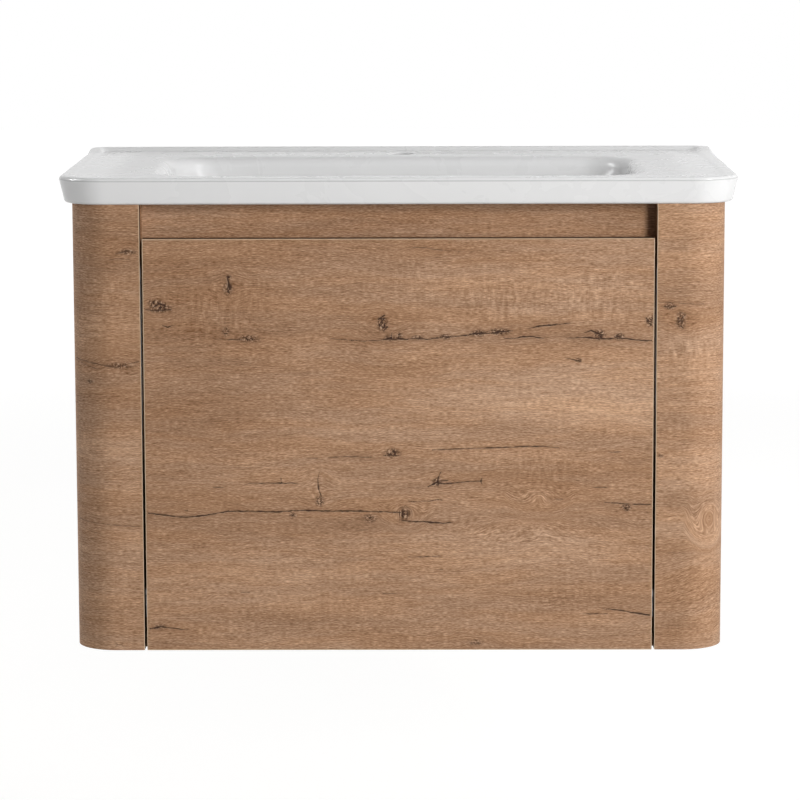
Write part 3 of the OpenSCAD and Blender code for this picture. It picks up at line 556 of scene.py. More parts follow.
@dataclass(frozen=True)
class EdgeBandFinish(Finish):
    """Thin oak-coloured plastic band on cut edges, with painted shade where it turns in beside the drawer."""

    light: Colour
    dark: Colour
    # Painted shade of the band's turned-in side, in the gap beside the drawer.
    gap_shade: Colour
    turn_y: float = -0.4490
    turn_w: float = 0.0015
    rough_dark: float = 0.62
    rough_light: float = 0.52
    gloss: float = 0.2
    relief: float = 0.00005

    def dress(self, skin: Skin, groups: SurfaceGroups) -> None:
        """Brushes the band along its length and paints shade on its turned-in side.

        Args:
            skin: The material under construction.
            groups: The shared node groups.
        """
        place = skin.own_place()
        lines = skin.use(groups.brushing, Vector=place, Stretch=(60.0, 900.0, 60.0))
        colour = skin.mix(skin.span(lines["Tone"], 0.3, 0.7), self.dark, self.light)
        # Painted shade: the band goes dark brown where it turns in beside the drawer, in the gap where shade
        # falls.
        turned = skin.span(skin.axes(place)["Y"], self.turn_y, self.turn_y + self.turn_w)
        rough = skin.span(lines["Tone"], 0.3, 0.7, self.rough_dark, self.rough_light)
        skin.give(Base_Color=skin.mix(turned, colour, self.gap_shade), Roughness=rough,
                  Specular_IOR_Level=self.gloss)
        skin.raise_surface(lines["Height"], self.relief)


@dataclass(frozen=True)
class BoardFinish(Finish):
    """White melamine board with a pearl-embossed skin."""

    colour: Colour
    dust: Colour = linear(150, 138, 120)
    dust_share: float = 0.25
    smeared: float = 0.88
    smear_share: float = 0.35
    rough_clean: float = 0.38
    rough_smeared: float = 0.52
    relief: float = 0.00006

    def dress(self, skin: Skin, groups: SurfaceGroups) -> None:
        """Lays smears and dust on the white, and embosses it.

        Args:
            skin: The material under construction.
            groups: The shared node groups.
        """
        place = skin.own_place()
        hands = skin.use(groups.handling, Vector=place, Scale=1.0)
        greyer = tuple(c * self.smeared for c in self.colour)
        colour = skin.cover(hands["Smear"], self.smear_share, self.colour, greyer)
        skin.give(Base_Color=skin.cover(hands["Dust"], self.dust_share, colour, self.dust),
                  Roughness=skin.span(hands["Smear"], 0.0, 1.0, self.rough_clean, self.rough_smeared))
        skin.raise_surface(skin.noise(place, 1100.0), self.relief)


@dataclass(frozen=True)
class GlazeFinish(Finish):
    """White sanitary glaze: glossy, dulled by use in the bowl, with a grey band of painted reflection on the
    arris of the rim.
    """

    white: Colour
    shade: Colour
    # Grey of the band painted on the rim's arris as its dark reflection.
    arris: Colour = linear(176, 176, 176)
    arris_share: float = 0.9
    rough_clean: float = 0.27
    rough_smeared: float = 0.285
    gloss: float = 0.35
    coat: float = 0.3
    coat_rough: float = 0.05
    glass: float = 1.52
    bowl_side_x: float = 0.33
    bowl_front_y: float = -0.425
    dulled_over: tuple[float, float] = (0.03, 0.015)
    relief: float = 0.00003

    def dress(self, skin: Skin, groups: SurfaceGroups) -> None:
        """Clouds the white, paints a grey band of reflection on the arris, and coats it beside and before the
        bowl.

        Args:
            skin: The material under construction.
            groups: The shared node groups.
        """
        place = skin.own_place()
        hands = skin.use(groups.handling, Vector=place, Scale=0.6)
        colour = skin.mix(skin.span(skin.noise(place, 9.0), 0.35, 0.65, 0.0, 0.6), self.white, self.shade)
        axes = skin.axes(place)
        side, front = self.bowl_side_x, self.bowl_front_y
        beside = skin.span(skin.math("ABSOLUTE", axes["X"]), side, side + self.dulled_over[0], 0.0, self.coat)
        before = skin.span(axes["Y"], front - self.dulled_over[1], front, self.coat, 0.0)
        # The base colour greys on the arris: a painted dark reflection.
        skin.give(Base_Color=skin.cover(skin.carried("painted_arris_reflection"), self.arris_share, colour, self.arris),
                  Roughness=skin.span(hands["Smear"], 0.0, 1.0, self.rough_clean, self.rough_smeared),
                  Specular_IOR_Level=self.gloss, IOR=self.glass,
                  Coat_Weight=skin.math("MAXIMUM", beside, before), Coat_Roughness=self.coat_rough)
        skin.raise_surface(skin.noise(place, 26.0, 1.0), self.relief)


@dataclass(frozen=True)
class SteelFinish(Finish):
    """Zinc-coated steel, either spangled sheet or bright plated with fine brushing."""

    light: Colour
    dark: Colour
    spangled: bool
    rough_low: float
    rough_high: float
    dust: Colour = linear(120, 118, 112)
    dust_share: float = 0.3
    dusty_metal: float = 0.8
    relief: float = 0.00003

    def dress(self, skin: Skin, groups: SurfaceGroups) -> None:
        """Lays the coat's pattern and a little dust.

        Args:
            skin: The material under construction.
            groups: The shared node groups.
        """
        place = skin.own_place()
        if self.spangled:
            coat = skin.use(groups.spangle, Vector=place, Scale=150.0)
        else:
            coat = skin.use(groups.brushing, Vector=place, Stretch=(900.0, 120.0, 900.0))
        hands = skin.use(groups.handling, Vector=place, Scale=2.0)
        colour = skin.mix(skin.span(coat["Tone"], 0.2, 0.8), self.dark, self.light)
        skin.give(Base_Color=skin.cover(hands["Dust"], self.dust_share, colour, self.dust),
                  Metallic=skin.span(hands["Dust"], 0.0, 1.0, 1.0, self.dusty_metal),
                  Roughness=skin.span(coat["Tone"], 0.2, 0.8, self.rough_high, self.rough_low))
        skin.raise_surface(coat["Height"], self.relief)


@dataclass(frozen=True)
class PlasticFinish(Finish):
    """Moulded plastic or rubber with a fine matt texture."""

    light: Colour
    dark: Colour
    rough: float
    grit: float = 1600.0
    dust: Colour = linear(170, 165, 155)
    dust_share: float = 0.2
    rough_swing: float = 0.06
    relief: float = 0.00005

    def dress(self, skin: Skin, groups: SurfaceGroups) -> None:
        """Lays the moulded texture, flow lines and a little dust.

        Args:
            skin: The material under construction.
            groups: The shared node groups.
        """
        place = skin.own_place()
        moulded = skin.use(groups.moulding, Vector=place, Grit=self.grit)
        hands = skin.use(groups.handling, Vector=place, Scale=2.0)
        colour = skin.mix(skin.span(moulded["Tone"], 0.35, 0.65), self.dark, self.light)
        clean, smeared = self.rough - self.rough_swing, self.rough + self.rough_swing
        skin.give(Base_Color=skin.cover(hands["Dust"], self.dust_share, colour, self.dust),
                  Roughness=skin.span(hands["Smear"], 0.0, 1.0, clean, smeared))
        skin.raise_surface(moulded["Height"], self.relief)


# ---- Meshes ----


def new_object(name: str, data: bpy.types.ID) -> bpy.types.Object:
    """Makes an object and links it into the scene.

    Args:
        name: Its name.
        data: Its mesh, light or camera.

    Returns:
        The new object.
    """
    made = bpy.data.objects.new(name, data)
    bpy.context.scene.collection.objects.link(made)
    return made


def new_mesh(name: str, points: Sequence[Point], faces: Sequence[Sequence[int]]) -> bpy.types.Mesh:
    """Makes a mesh.

    Args:
        name: Its name.
        points: Its points.
        faces: Indices of each face's points.

    Returns:
        The new mesh.
    """
    mesh = bpy.data.meshes.new(name)
    mesh.from_pydata(points, [], faces)
    return mesh


def smooth(mesh: bpy.types.Mesh) -> None:
    """Shades every face of a mesh smooth."""
    mesh.polygons.foreach_set("use_smooth", [True] * len(mesh.polygons))


def new_piece(name: str, shape: Shape, material: bpy.types.Material, body: str,
              replaced: Iterable[str]) -> bpy.types.Object:
    """Makes a piece from points and faces, and says what it rides on and stands for.

    Args:
        name: The piece's name.
        shape: Its points, in the part's frame, and faces.
        material: Its finish.
        body: The body that it moves with.
        replaced: CAD nodes that it stands for.

    Returns:
        The new object.
    """
    mesh = new_mesh(name, *shape)
    mesh.validate()
    mesh.materials.append(material)
    smooth(mesh)
    piece = new_object(name, mesh)
    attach(piece, body)
    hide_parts(*replaced)
    return piece


def carry(piece: bpy.types.Object, values: dict[str, np.ndarray]) -> None:
    """Writes a value or vector of each point into the piece's mesh.

    Args:
        piece: The piece.
        values: One row for each point, by the attribute's name.
    """
    for name, rows in values.items():
        vector = rows.ndim == 2
        made = piece.data.attributes.new(name, "FLOAT_VECTOR" if vector else "FLOAT", "POINT")
        made.data.foreach_set("vector" if vector else "value", rows.astype(np.float32).ravel())


def triangulated(loop: Sequence[FlatPoint], inside: Sequence[FlatPoint],
                 closest: float = 0.00005) -> tuple[list[FlatPoint], Faces, list[int]]:
    """Fills a convex outline with triangles between its points and points inside it.

    Args:
        loop: Outline points, anticlockwise.
        inside: Points inside it.
        closest: Distance under which points become one.

    Returns:
        Points, triangles, and the indices of the outline's points.
    """
    given = [Vector(p) for p in [*loop, *inside]]
    sides = [(i, (i + 1) % len(loop)) for i in range(len(loop))]
    points, _, faces, origins, _, _ = delaunay_2d_cdt(given, sides, [], 0, closest)
    found = {source: number for number, sources in enumerate(origins) for source in sources}
    return [(p.x, p.y) for p in points], [list(f) for f in faces], [found[i] for i in range(len(loop))]


def closed_skin(rings: int, count: int) -> Faces:
    """Faces that join rings of points one after another and close both ends.

    Args:
        rings: Number of rings.
        count: Points in each.

    Returns:
        Indices of each face's points.
    """
    faces = [
        [i * count + j, i * count + (j + 1) % count, (i + 1) * count + (j + 1) % count, (i + 1) * count + j]
        for i in range(rings - 1) for j in range(count)
    ]
    last = list(range((rings - 1) * count, rings * count))
    return [*faces, list(range(count))[::-1], last]


def ease_edges(piece: bpy.types.Object, width: float, weld: float = 0.00001, angle: float = 35.0) -> None:
    """Joins the double points of a piece and rounds its sharp edges, with modifiers.

    Args:
        piece: The piece.
        width: Width of the rounding, in metres.
        weld: Distance under which points are joined.
        angle: Least angle of an edge that is rounded, in degrees.
    """
    joined = piece.modifiers.new("joined", "WELD")
    joined.merge_threshold = weld
    bevel = piece.modifiers.new("eased", "BEVEL")
    bevel.width = width
    bevel.segments = 2
    bevel.limit_method = "ANGLE"
    bevel.angle_limit = math.radians(angle)
    bevel.harden_normals = True
    bevel.miter_outer = "MITER_ARC"


# ---- Figure of the oak ----


@dataclass(frozen=True)
class Crack:
    """A dark line in the oak: along, up and width at its turns, in millimetres on the flat board."""

    way: tuple[Point, ...]
    dark: float = 1.0
    stain: float = 6.0
    wobble: float = 0.35
    step: float = 2.0

    def line(self) -> np.ndarray:
        """Its turns and the slightly wandering points between them.

        Returns:
            Rows of along, up, width in millimetres, and darkness.
        """
        rows = []
        for start, end in zip(self.way, self.way[1:]):
            count = max(1, round(math.dist(start[:2], end[:2]) / self.step))
            rows += [np.array(start) + (np.array(end) - np.array(start)) * k / count for k in range(count)]
        rows.append(np.array(self.way[-1]))
        line = np.array(rows)
        # Slow waves of unlike lengths make the line wander, swell and fade without a pattern.
        run = line[:, 0] + 1.7 * line[:, 1]
        inner = run[1:-1]
        line[1:-1, 1] += self.wobble * (np.sin(inner * 0.47) + 0.6 * np.sin(inner * 1.07 + 2.0)) * 0.5
        line[:, 2] *= 1.0 + 0.22 * np.sin(run * 0.31 + 1.0) + 0.14 * np.sin(run * 0.83)
        start = 2.0 * self.way[0][0]
        dark = self.dark * (0.84 + 0.16 * np.sin(run * 0.13 + start) + 0.10 * np.sin(run * 0.53))
        return np.concatenate([line, np.clip(dark, 0.0, 1.0)[:, None]], axis=1)

    def beside(self) -> np.ndarray:
        """Mesh points on the line and beside it, where its values change."""
        line = self.line()
        way = np.gradient(line[:, :2], axis=0) if len(line) > 1 else np.array([[1.0, 0.0]])
        way /= np.maximum(np.linalg.norm(way, axis=1, keepdims=True), 1e-9)
        across = np.stack([-way[:, 1], way[:, 0]], 1)
        half = line[:, 2:3] / 2
        rows = [line[:, :2]]
        for out in (half, half * 2, half * 3, half * 3 + self.stain * 0.45, half * 3 + self.stain):
            rows += [line[:, :2] + across * out, line[:, :2] - across * out]
        return np.concatenate(rows)

    def values(self, place: np.ndarray) -> tuple[np.ndarray, np.ndarray, np.ndarray]:
        """How much of the line, of its stain and of the highlight painted on its lower rim there is at given
        places.

        Args:
            place: Rows of along and up, in millimetres.

        Returns:
            The line's values, the stain's and those of the highlight painted on its lower rim.
        """
        line = self.line()
        ratio, gap = np.full(len(place), 1e9), np.full(len(place), 1e9)
        dark, below = np.zeros(len(place)), np.zeros(len(place))
        for start, end in zip(line, line[1:]):
            way = end[:2] - start[:2]
            share = np.clip((place - start[:2]) @ way / max(way @ way, 1e-9), 0, 1)
            off = place - start[:2] - share[:, None] * way
            away = np.linalg.norm(off, axis=1)
            half = np.maximum(start[2] + share * (end[2] - start[2]), 0.2) / 2
            nearer = away / half < ratio
            ratio = np.where(nearer, away / half, ratio)
            dark = np.where(nearer, start[3] + share * (end[3] - start[3]), dark)
            below = np.where(nearer, off[:, 1] < 0, below)
            gap = np.minimum(gap, away - half)
        # The third value is the highlight painted along the crack's lower rim, where its edge would catch the
        # light.
        return (dark * np.clip(1 - ratio / 2, 0, 1), dark * 0.5 * np.clip(1 - gap / self.stain, 0, 1) ** 1.6,
                dark * below * np.clip(1 - abs(ratio - 2), 0, 1))


@dataclass(frozen=True)
class Patch:
    """A soft patch on a board, lighter, darker or flaked by a strength, in millimetres."""

    x: float
    z: float
    reach_x: float
    reach_z: float
    strength: float

    def weight(self, place: np.ndarray) -> np.ndarray:
        """Its share at given places, 1 in the middle and 0 beyond its reach."""
        away = ((place[:, 0] - self.x) / self.reach_x) ** 2 + ((place[:, 1] - self.z) / self.reach_z) ** 2
        return np.clip(1 - away, 0, 1) ** 2

    def grid(self, step: float) -> np.ndarray:
        """Mesh points that cover the patch.

        Args:
            step: Distance between them, in millimetres.

        Returns:
            Rows of along and up.
        """
        xs = np.arange(self.x - self.reach_x, self.x + self.reach_x, step)
        zs = np.arange(self.z - self.reach_z, self.z + self.reach_z, step)
        return np.stack(np.meshgrid(xs, zs), -1).reshape(-1, 2)


@dataclass(frozen=True)
class Bend(Patch):
    """Grain that flows round a knot or arches over it: strength pushes it apart, lift raises it."""

    lift: float = 0.0
    ring: float = 0.0

    def moved(self, place: np.ndarray) -> np.ndarray:
        """The change of the height at which the grain is read.

        Args:
            place: Rows of along and up, in millimetres.

        Returns:
            The change, in millimetres.
        """
        weight = self.weight(place)
        dx, dz = place[:, 0] - self.x, place[:, 1] - self.z
        round_it = np.hypot(dz, dx * self.reach_z / self.reach_x) - dz
        return weight * (-self.strength * dz - self.lift) + np.sqrt(weight) * self.ring * round_it


@dataclass(frozen=True)
class Figure:
    """What its tree left in a board, and the highlight painted along the lower rim of each crack."""

    cracks: tuple[Crack, ...] = ()
    patches: tuple[Patch, ...] = ()
    flakes: tuple[Patch, ...] = ()
    chips: tuple[Patch, ...] = ()
    bends: tuple[Bend, ...] = ()
    bend_step: float = 4.0
    chip_step: float = 1.5
    margin: float = 6.0

    def points(self) -> np.ndarray:
        """Mesh points that the figure needs besides the board's own, in millimetres."""
        rows = [crack.beside() for crack in self.cracks]
        rows += [bend.grid(self.bend_step) for bend in self.bends]
        rows += [chip.grid(self.chip_step) for chip in self.chips]
        return np.concatenate(rows) if rows else np.zeros((0, 2))

    def attributes(self, place: np.ndarray) -> dict[str, np.ndarray]:
        """The values that the mesh carries for the finish.

        Args:
            place: Rows of along, up and depth, in millimetres.

        Returns:
            Values by the attribute's name; grain is in metres.
        """
        flat = place[:, :2]
        grain = place.copy()
        marks = np.zeros((3, len(place)))
        for bend in self.bends:
            grain[:, 1] += bend.moved(flat)
        for mark in self.cracks:
            line = mark.line()[:, :2]
            reach = mark.stain + self.margin
            near = np.all((flat > line.min(0) - reach) & (flat < line.max(0) + reach), axis=1)
            marks[:, near] = np.maximum(marks[:, near], mark.values(flat[near]))
        # rim is the highlight painted along each crack's lower rim.
        made = {"grain": grain / 1000, "crack": marks[0], "stain": marks[1], "rim": marks[2]}
        for name, patches in (("shade", self.patches), ("flake", self.flakes), ("chip", self.chips)):
            made[name] = sum((p.strength * p.weight(flat) for p in patches), np.zeros(len(place)))
        return made


# ---- Cabinet ----


@dataclass
class OakPanel:
    """An oak board with eased edges, laid out flat and then set in its CAD node's place."""

    name: str
    node: str
    body: str
    finish: OakFinish
    figure: Figure = field(default_factory=Figure)
    edge: float = 0.0004
    mesh_step: float = 0.015
    mesh_rows: int = 36
    least_gap: float = 0.0005
    sharp: float = 20.0
    face_y: float = field(default=0.0, init=False)

    def span(self) -> FlatPoint:
        """Where the board starts and ends along the grain."""
        low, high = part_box(self.node)
        return low.x, high.x

    def columns(self) -> list[float]:
        """Places along the grain at which the mesh has a row of points."""
        start, end = self.span()
        count = round((end - start) / self.mesh_step)
        return [float(x) for x in np.linspace(start + self.edge, end - self.edge, count)]

    def thickness(self) -> float:
        """Thickness of the board."""
        low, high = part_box(self.node)
        return high.y - low.y

    def fold(self, along: float, up: float, depth: float) -> Point:
        """Sets a point of the unrolled board in place."""
        return along, self.face_y + depth, up

    def edge_loop(self, xs: list[float], zs: list[float]) -> list[tuple[float, float, int, int]]:
        """Points round the face's edge, each with the directions in which it may grow outwards.

        Args:
            xs: The mesh's columns.
            zs: Its rows.

        Returns:
            Along, up, and the outward steps along and up, anticlockwise.
        """
        loop = [(x, zs[0], 0, -1) for x in xs[1:-1]] + [(xs[-1], zs[0], 1, -1)]
        loop += [(xs[-1], z, 1, 0) for z in zs[1:-1]] + [(xs[-1], zs[-1], 1, 1)]
        loop += [(x, zs[-1], 0, 1) for x in xs[-2:0:-1]] + [(xs[0], zs[-1], -1, 1)]
        return loop + [(xs[0], z, -1, 0) for z in zs[-2:0:-1]] + [(xs[0], zs[0], -1, -1)]

    def build(self, groups: SurfaceGroups) -> bpy.types.Object:
        """Builds the board.

        Args:
            groups: The shared node groups.

        Returns:
            The piece.
        """
        low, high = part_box(self.node)
        self.face_y = low.y
        xs = self.columns()
        zs = [float(z) for z in np.linspace(low.z + self.edge, high.z - self.edge, self.mesh_rows)]
        loop = self.edge_loop(xs, zs)
        gap = self.least_gap
        grid = [(x, z) for x in xs[1:-1] for z in zs[1:-1]]
        inside = [(x, z) for x, z in self.figure.points() / 1000
                  if xs[0] + gap < x < xs[-1] - gap and zs[0] + gap < z < zs[-1] - gap]
        edge_points = [(x, z) for x, z, _, _ in loop]
        front, front_faces, front_loop = triangulated(edge_points, grid + inside)
        back, back_faces, back_loop = triangulated(edge_points, grid)
        t, e = self.thickness(), self.edge
        half = e * math.sqrt(0.5)
        rings = [(half, e - half), (e, e), (e, t - e), (half, t - e + half)]
        places = [(x, z, 0.0) for x, z in front]
        for out, depth in rings:
            places += [(x + dx * out, z + dz * out, depth) for x, z, dx, dz in loop]
        places += [(x, z, t) for x, z in back]
        count = len(loop)
        starts = [front_loop]
        starts += [[len(front) + k * count + i for i in range(count)] for k in range(len(rings))]
        second = len(front) + len(rings) * count
        starts.append([second + i for i in back_loop])
        faces = front_faces
        for first, last in zip(starts, starts[1:]):
            turns = [(i, (i + 1) % count) for i in range(count)]
            faces += [[first[i], last[i], last[k], first[k]] for i, k in turns]
        faces += [[second + i for i in reversed(f)] for f in back_faces]
        piece = new_piece(self.name, ([self.fold(*p) for p in places], faces), self.finish.material(groups),
                          self.body, [self.node])
        carry(piece, self.figure.attributes(np.array(places) * 1000))
        piece.data.set_sharp_from_angle(angle=math.radians(self.sharp))
        return piece


@dataclass
class BentSide(OakPanel):
    """One oak board bent round a front corner, from the wall to the end of the front return."""

    side: Side = Side.RIGHT
    half_width: float = 0.390
    front_y: float = -0.450
    return_x: float = 0.3075
    board_t: float = 0.018
    corner_r: float = 0.050
    return_rows: int = 4
    bend_rows: int = 30
    flank_rows: int = 18

    @property
    def bend_start(self) -> float:
        """Distance along the face from the middle of the front to where the bend starts."""
        return self.half_width - self.corner_r

    @property
    def bend_end(self) -> float:
        """Distance along the face to where the bend ends."""
        return self.bend_start + self.corner_r * math.pi / 2

    def span(self) -> FlatPoint:
        """Where the unrolled board starts and ends, from left to right."""
        reach = self.bend_end - self.front_y - self.corner_r
        ends = (self.return_x * self.side.value, reach * self.side.value)
        return min(ends), max(ends)

    def columns(self) -> list[float]:
        """Places along the grain at which the mesh has a row of points."""
        reach = max(abs(x) for x in self.span())
        away = [*np.linspace(self.return_x + self.edge, self.bend_start, self.return_rows)[:-1],
                *np.linspace(self.bend_start, self.bend_end, self.bend_rows)[:-1],
                *np.linspace(self.bend_end, reach - self.edge, self.flank_rows)]
        return sorted(float(x) * self.side.value for x in away)

    def thickness(self) -> float:
        """Thickness of the bent board."""
        return self.board_t

    def fold(self, along: float, up: float, depth: float) -> Point:
        """Bends a point of the unrolled board round the corner.

        Args:
            along: Distance from the middle of the front, along the face.
            up: Height.
            depth: Depth in the board.

        Returns:
            The point in place.
        """
        s = abs(along)
        if s <= self.bend_start:
            x, y = s, self.front_y + depth
        elif s <= self.bend_end:
            a = (s - self.bend_start) / self.corner_r
            r = self.corner_r - depth
            x, y = self.bend_start + r * math.sin(a), self.front_y + self.corner_r - r * math.cos(a)
        else:
            x, y = self.half_width - depth, self.front_y + self.corner_r + s - self.bend_end
        return x * self.side.value, y, up


# ---- Basin ----


@dataclass
class BasinCasting:
    """The ceramic basin: one casting with apron, low rim, rear ledge, wide bowl, tap hole and waste."""

    finish: GlazeFinish
    base_z: float = 0.098
    width: float = 0.810
    depth: float = 0.460
    height: float = 0.036
    ledge_h: float = 0.004
    ledge_sweep: float = 0.075
    corner_r: float = 0.057
    back_r: float = 0.022
    apron_draft: float = 0.0055
    rim_edge_r: float = 0.005
    apron_edge_r: float = 0.004
    rim_w: float = 0.014
    step_w: float = 0.008
    step_h: float = 0.001
    deck_fall: float = 0.001
    deck_t: float = 0.010
    land_w: float = 0.028
    bowl_hx: float = 0.3025
    bowl_y0: float = -0.409
    bowl_y1: float = -0.098
    bowl_corner_r: float = 0.070
    lip_r: float = 0.016
    bowl_drop: float = 0.089
    slope_front: float = 0.110
    slope_side: float = 0.070
    slope_back: float = 0.040
    bottom_r: float = 0.050
    bowl_curve: float = 1.8
    wall_out: float = 0.0075
    under_edge: float = 0.001
    wall_down: float = 0.009
    waste_y: float = -0.218
    waste_r: float = 0.0225
    seat_w: float = 0.009
    seat_h: float = 0.002
    seat_ease: float = 0.001
    floor_w: float = 0.004
    waste_cut: float = 0.06
    floor_fall: float = 0.003
    boss_t: float = 0.012
    boss_l: float = 0.028
    boss_foot: float = 0.003
    tap_y: float = -0.062
    tap_r: float = 0.0175
    tap_cut: float = 0.03
    overflow_r: float = 0.011
    overflow_z: float = -0.007
    overflow_wall: float = 0.14
    overflow_start: float = 0.008
    overflow_l: float = 0.030
    duct_w: float = 0.020
    duct_depth: float = 0.012
    duct_skin: float = 0.006
    duct_gap: float = 0.001
    duct_foot: FlatPoint = (0.010, 0.012)
    joint: float = 0.002
    cut_over: float = 0.0005
    arc_steps: int = 18
    side_steps: int = 12
    duct_steps: int = 6
    bowl_steps: int = 24
    under_steps: int = 10
    edge_steps: int = 8
    step_steps: int = 8
    least_r: float = 0.010
    arris_ring: int = 6
    sharp: float = 38.0

    @property
    def rim_z(self) -> float:
        """Height of the rim at the front and the sides."""
        return self.height - self.ledge_h

    @property
    def deck_z(self) -> float:
        """Height of the deck inside the rim."""
        return self.rim_z - self.step_h

    @property
    def bowl_edge_z(self) -> float:
        """Height of the deck at the bowl."""
        return self.deck_z - self.deck_fall

    @property
    def deck_under_z(self) -> float:
        """Height of the deck's underside."""
        return self.bowl_edge_z - self.deck_t

    @property
    def floor_z(self) -> float:
        """Height of the bowl's floor at the waste."""
        return self.wall_z(1.0) - self.floor_fall

    @property
    def boss_top(self) -> float:
        """Height at which the boss of the waste starts under the bowl."""
        return self.wall_z(1.0) - self.wall_down

    def ledge_rise(self, y: float) -> float:
        """How far the rim is raised towards the wall, at a distance from it."""
        share = min(1.0, max(0.0, (y + self.ledge_sweep) / (self.ledge_sweep - self.rim_w)))
        return self.ledge_h * (1 - math.cos(math.pi * share)) / 2

    def outline(self, hx: float, y0: float, y1: float, front_r: float, back_r: float, z: float,
                raised: float = 0.0) -> Ring:
        """A rounded outline, anticlockwise seen from above.

        Args:
            hx: Half its width.
            y0: Its front.
            y1: Its back.
            front_r: Radius of its front corners.
            back_r: Radius of its back corners.
            z: Its height over the cabinet.
            raised: Share of the ledge by which it rises towards the wall.

        Returns:
            Its points.
        """
        def corner(x: float, y: float, r: float, start: float) -> list[FlatPoint]:
            """A quarter circle from an angle on."""
            angles = np.radians(np.linspace(start, start + 90, self.arc_steps + 1))
            return [(x + r * math.cos(a), y + r * math.sin(a)) for a in angles]

        start, end = y0 + front_r, y1 - back_r
        share = self.ledge_sweep / (self.depth - self.corner_r - self.back_r)
        side = [end - (end - start) * share * k / self.side_steps for k in range(self.side_steps, 0, -1)]
        flat = corner(hx - front_r, start, front_r, -90) + [(hx, y) for y in side]
        flat += corner(hx - back_r, end, back_r, 0) + corner(-hx + back_r, end, back_r, 90)
        flat += [(-hx, y) for y in reversed(side)] + corner(-hx + front_r, start, front_r, 180)
        return [(x, y, self.base_z + z + raised * self.ledge_rise(y)) for x, y in flat]

    def body_ring(self, side_in: float, back_in: float, z: float, raised: float = 0.0) -> Ring:
        """An outline drawn in from the basin's widest one."""
        return self.outline(
            self.width / 2 - side_in, -self.depth + side_in, -back_in,
            max(self.corner_r - side_in, self.least_r), max(self.back_r - back_in, self.least_r), z, raised,
        )

    def edge_ring(self, inset: float, z: float) -> Ring:
        """The bowl's edge at the deck, drawn in, or out where negative."""
        r = self.bowl_corner_r - inset
        return self.outline(self.bowl_hx - inset, self.bowl_y0 + inset, self.bowl_y1 - inset, r, r, z)

    def wall_z(self, u: float) -> float:
        """Height of the bowl's wall from its lip (u = 0) to its floor (u = 1)."""
        return self.bowl_edge_z - self.lip_r - self.bowl_drop * (1 - (1 - u) ** self.bowl_curve)

    def wall_back(self, u: float) -> float:
        """Y of the bowl's rear wall from its lip (u = 0) to its floor (u = 1)."""
        return self.bowl_y1 - self.lip_r - u * self.slope_back

    def wall_ring(self, u: float, out: float, down: float) -> Ring:
        """The bowl's wall, moved outwards and down for the underside.

        Args:
            u: Share of the way from the lip to the floor.
            out: Distance outwards.
            down: Distance down.

        Returns:
            Its outline.
        """
        lip_corner_r = self.bowl_corner_r - self.lip_r
        r = lip_corner_r + (self.bottom_r - lip_corner_r) * u + out
        return self.outline(
            self.bowl_hx - self.lip_r - u * self.slope_side + out,
            self.bowl_y0 + self.lip_r + u * self.slope_front - out,
            self.wall_back(u) + out, r, r, self.wall_z(u) - down,
        )

    def round_ring(self, r: float, z: float) -> Ring:
        """A circle round the waste."""
        return self.outline(r, self.waste_y - r, self.waste_y + r, r, r, z)

    def rings(self) -> list[Ring]:
        """All outlines in order: waste, up the bowl, over deck and rim, down the apron, underside, boss.

        Returns:
            The outlines.
        """
        boss_r = self.waste_r + self.boss_t
        rings = [self.round_ring(self.waste_r + self.seat_w + self.floor_w, self.floor_z)]
        rings += [self.wall_ring(u, 0.0, 0.0) for u in np.linspace(1.0, 0.0, self.bowl_steps)]
        for k in range(self.edge_steps - 1, -1, -1):
            a = math.radians(90 * k / self.edge_steps)
            drop = self.lip_r * (1 - math.cos(a))
            rings.append(self.edge_ring(self.lip_r * math.sin(a), self.bowl_edge_z - drop))
        for t in np.linspace(1.0, 0.0, self.step_steps):
            inset = self.rim_w + self.step_w * t
            up = (1 + math.cos(math.pi * t)) / 2
            rings.append(self.body_ring(inset, inset, self.deck_z + self.step_h * up, up))
        quarter = np.radians(np.linspace(90, 0, self.edge_steps))
        for a in quarter:
            inset = self.rim_edge_r * (1 - math.cos(a))
            rings.append(self.body_ring(inset, inset, self.rim_z - self.rim_edge_r * (1 - math.sin(a)), 1.0))
        for a in quarter:
            inset = self.apron_draft + self.apron_edge_r * (1 - math.sin(a))
            rings.append(self.body_ring(inset, 0.0, self.apron_edge_r * (1 - math.cos(a))))
        land_in = self.apron_draft + self.apron_edge_r + self.land_w
        rings.append(self.body_ring(land_in, self.land_w, 0.0))
        rings.append(self.body_ring(land_in + self.joint, self.land_w + self.joint, self.deck_under_z))
        rings.append(self.edge_ring(self.under_edge - self.wall_out, self.deck_under_z))
        rings += [self.wall_ring(u, self.wall_out, self.wall_down)
                  for u in np.linspace(0.0, 1.0, self.under_steps)]
        rings.append(self.round_ring(boss_r + self.boss_foot, self.boss_top))
        rings.append(self.round_ring(boss_r, self.boss_top - self.boss_l))
        return rings

    def duct_casting(self) -> Shape:
        """The overflow's cast duct behind the bowl.

        Returns:
            Points and faces.
        """
        skin, (foot_in, foot_up) = self.duct_skin, self.duct_foot
        top = self.overflow_z + self.overflow_r + skin
        rear = self.wall_back(0.0) + self.wall_out + self.duct_gap + self.duct_depth + skin
        low = self.boss_top - self.duct_depth - skin
        wall = [(self.wall_back(u) + self.joint, self.wall_z(u) - self.wall_down)
                for u in np.linspace(1.0, 0.0, self.duct_steps)]
        profile = [wall[-1], (wall[-1][0], top), (rear - skin, top), (rear, top - skin),
                   (rear, low + foot_up), (rear - foot_in, low), (self.waste_y, low),
                   (self.waste_y, self.boss_top + self.joint), *wall[:-1]]
        half = self.duct_w / 2 + skin
        points = [(x, y, self.base_z + z) for x in (-half, half) for y, z in profile]
        return points, closed_skin(2, len(profile))

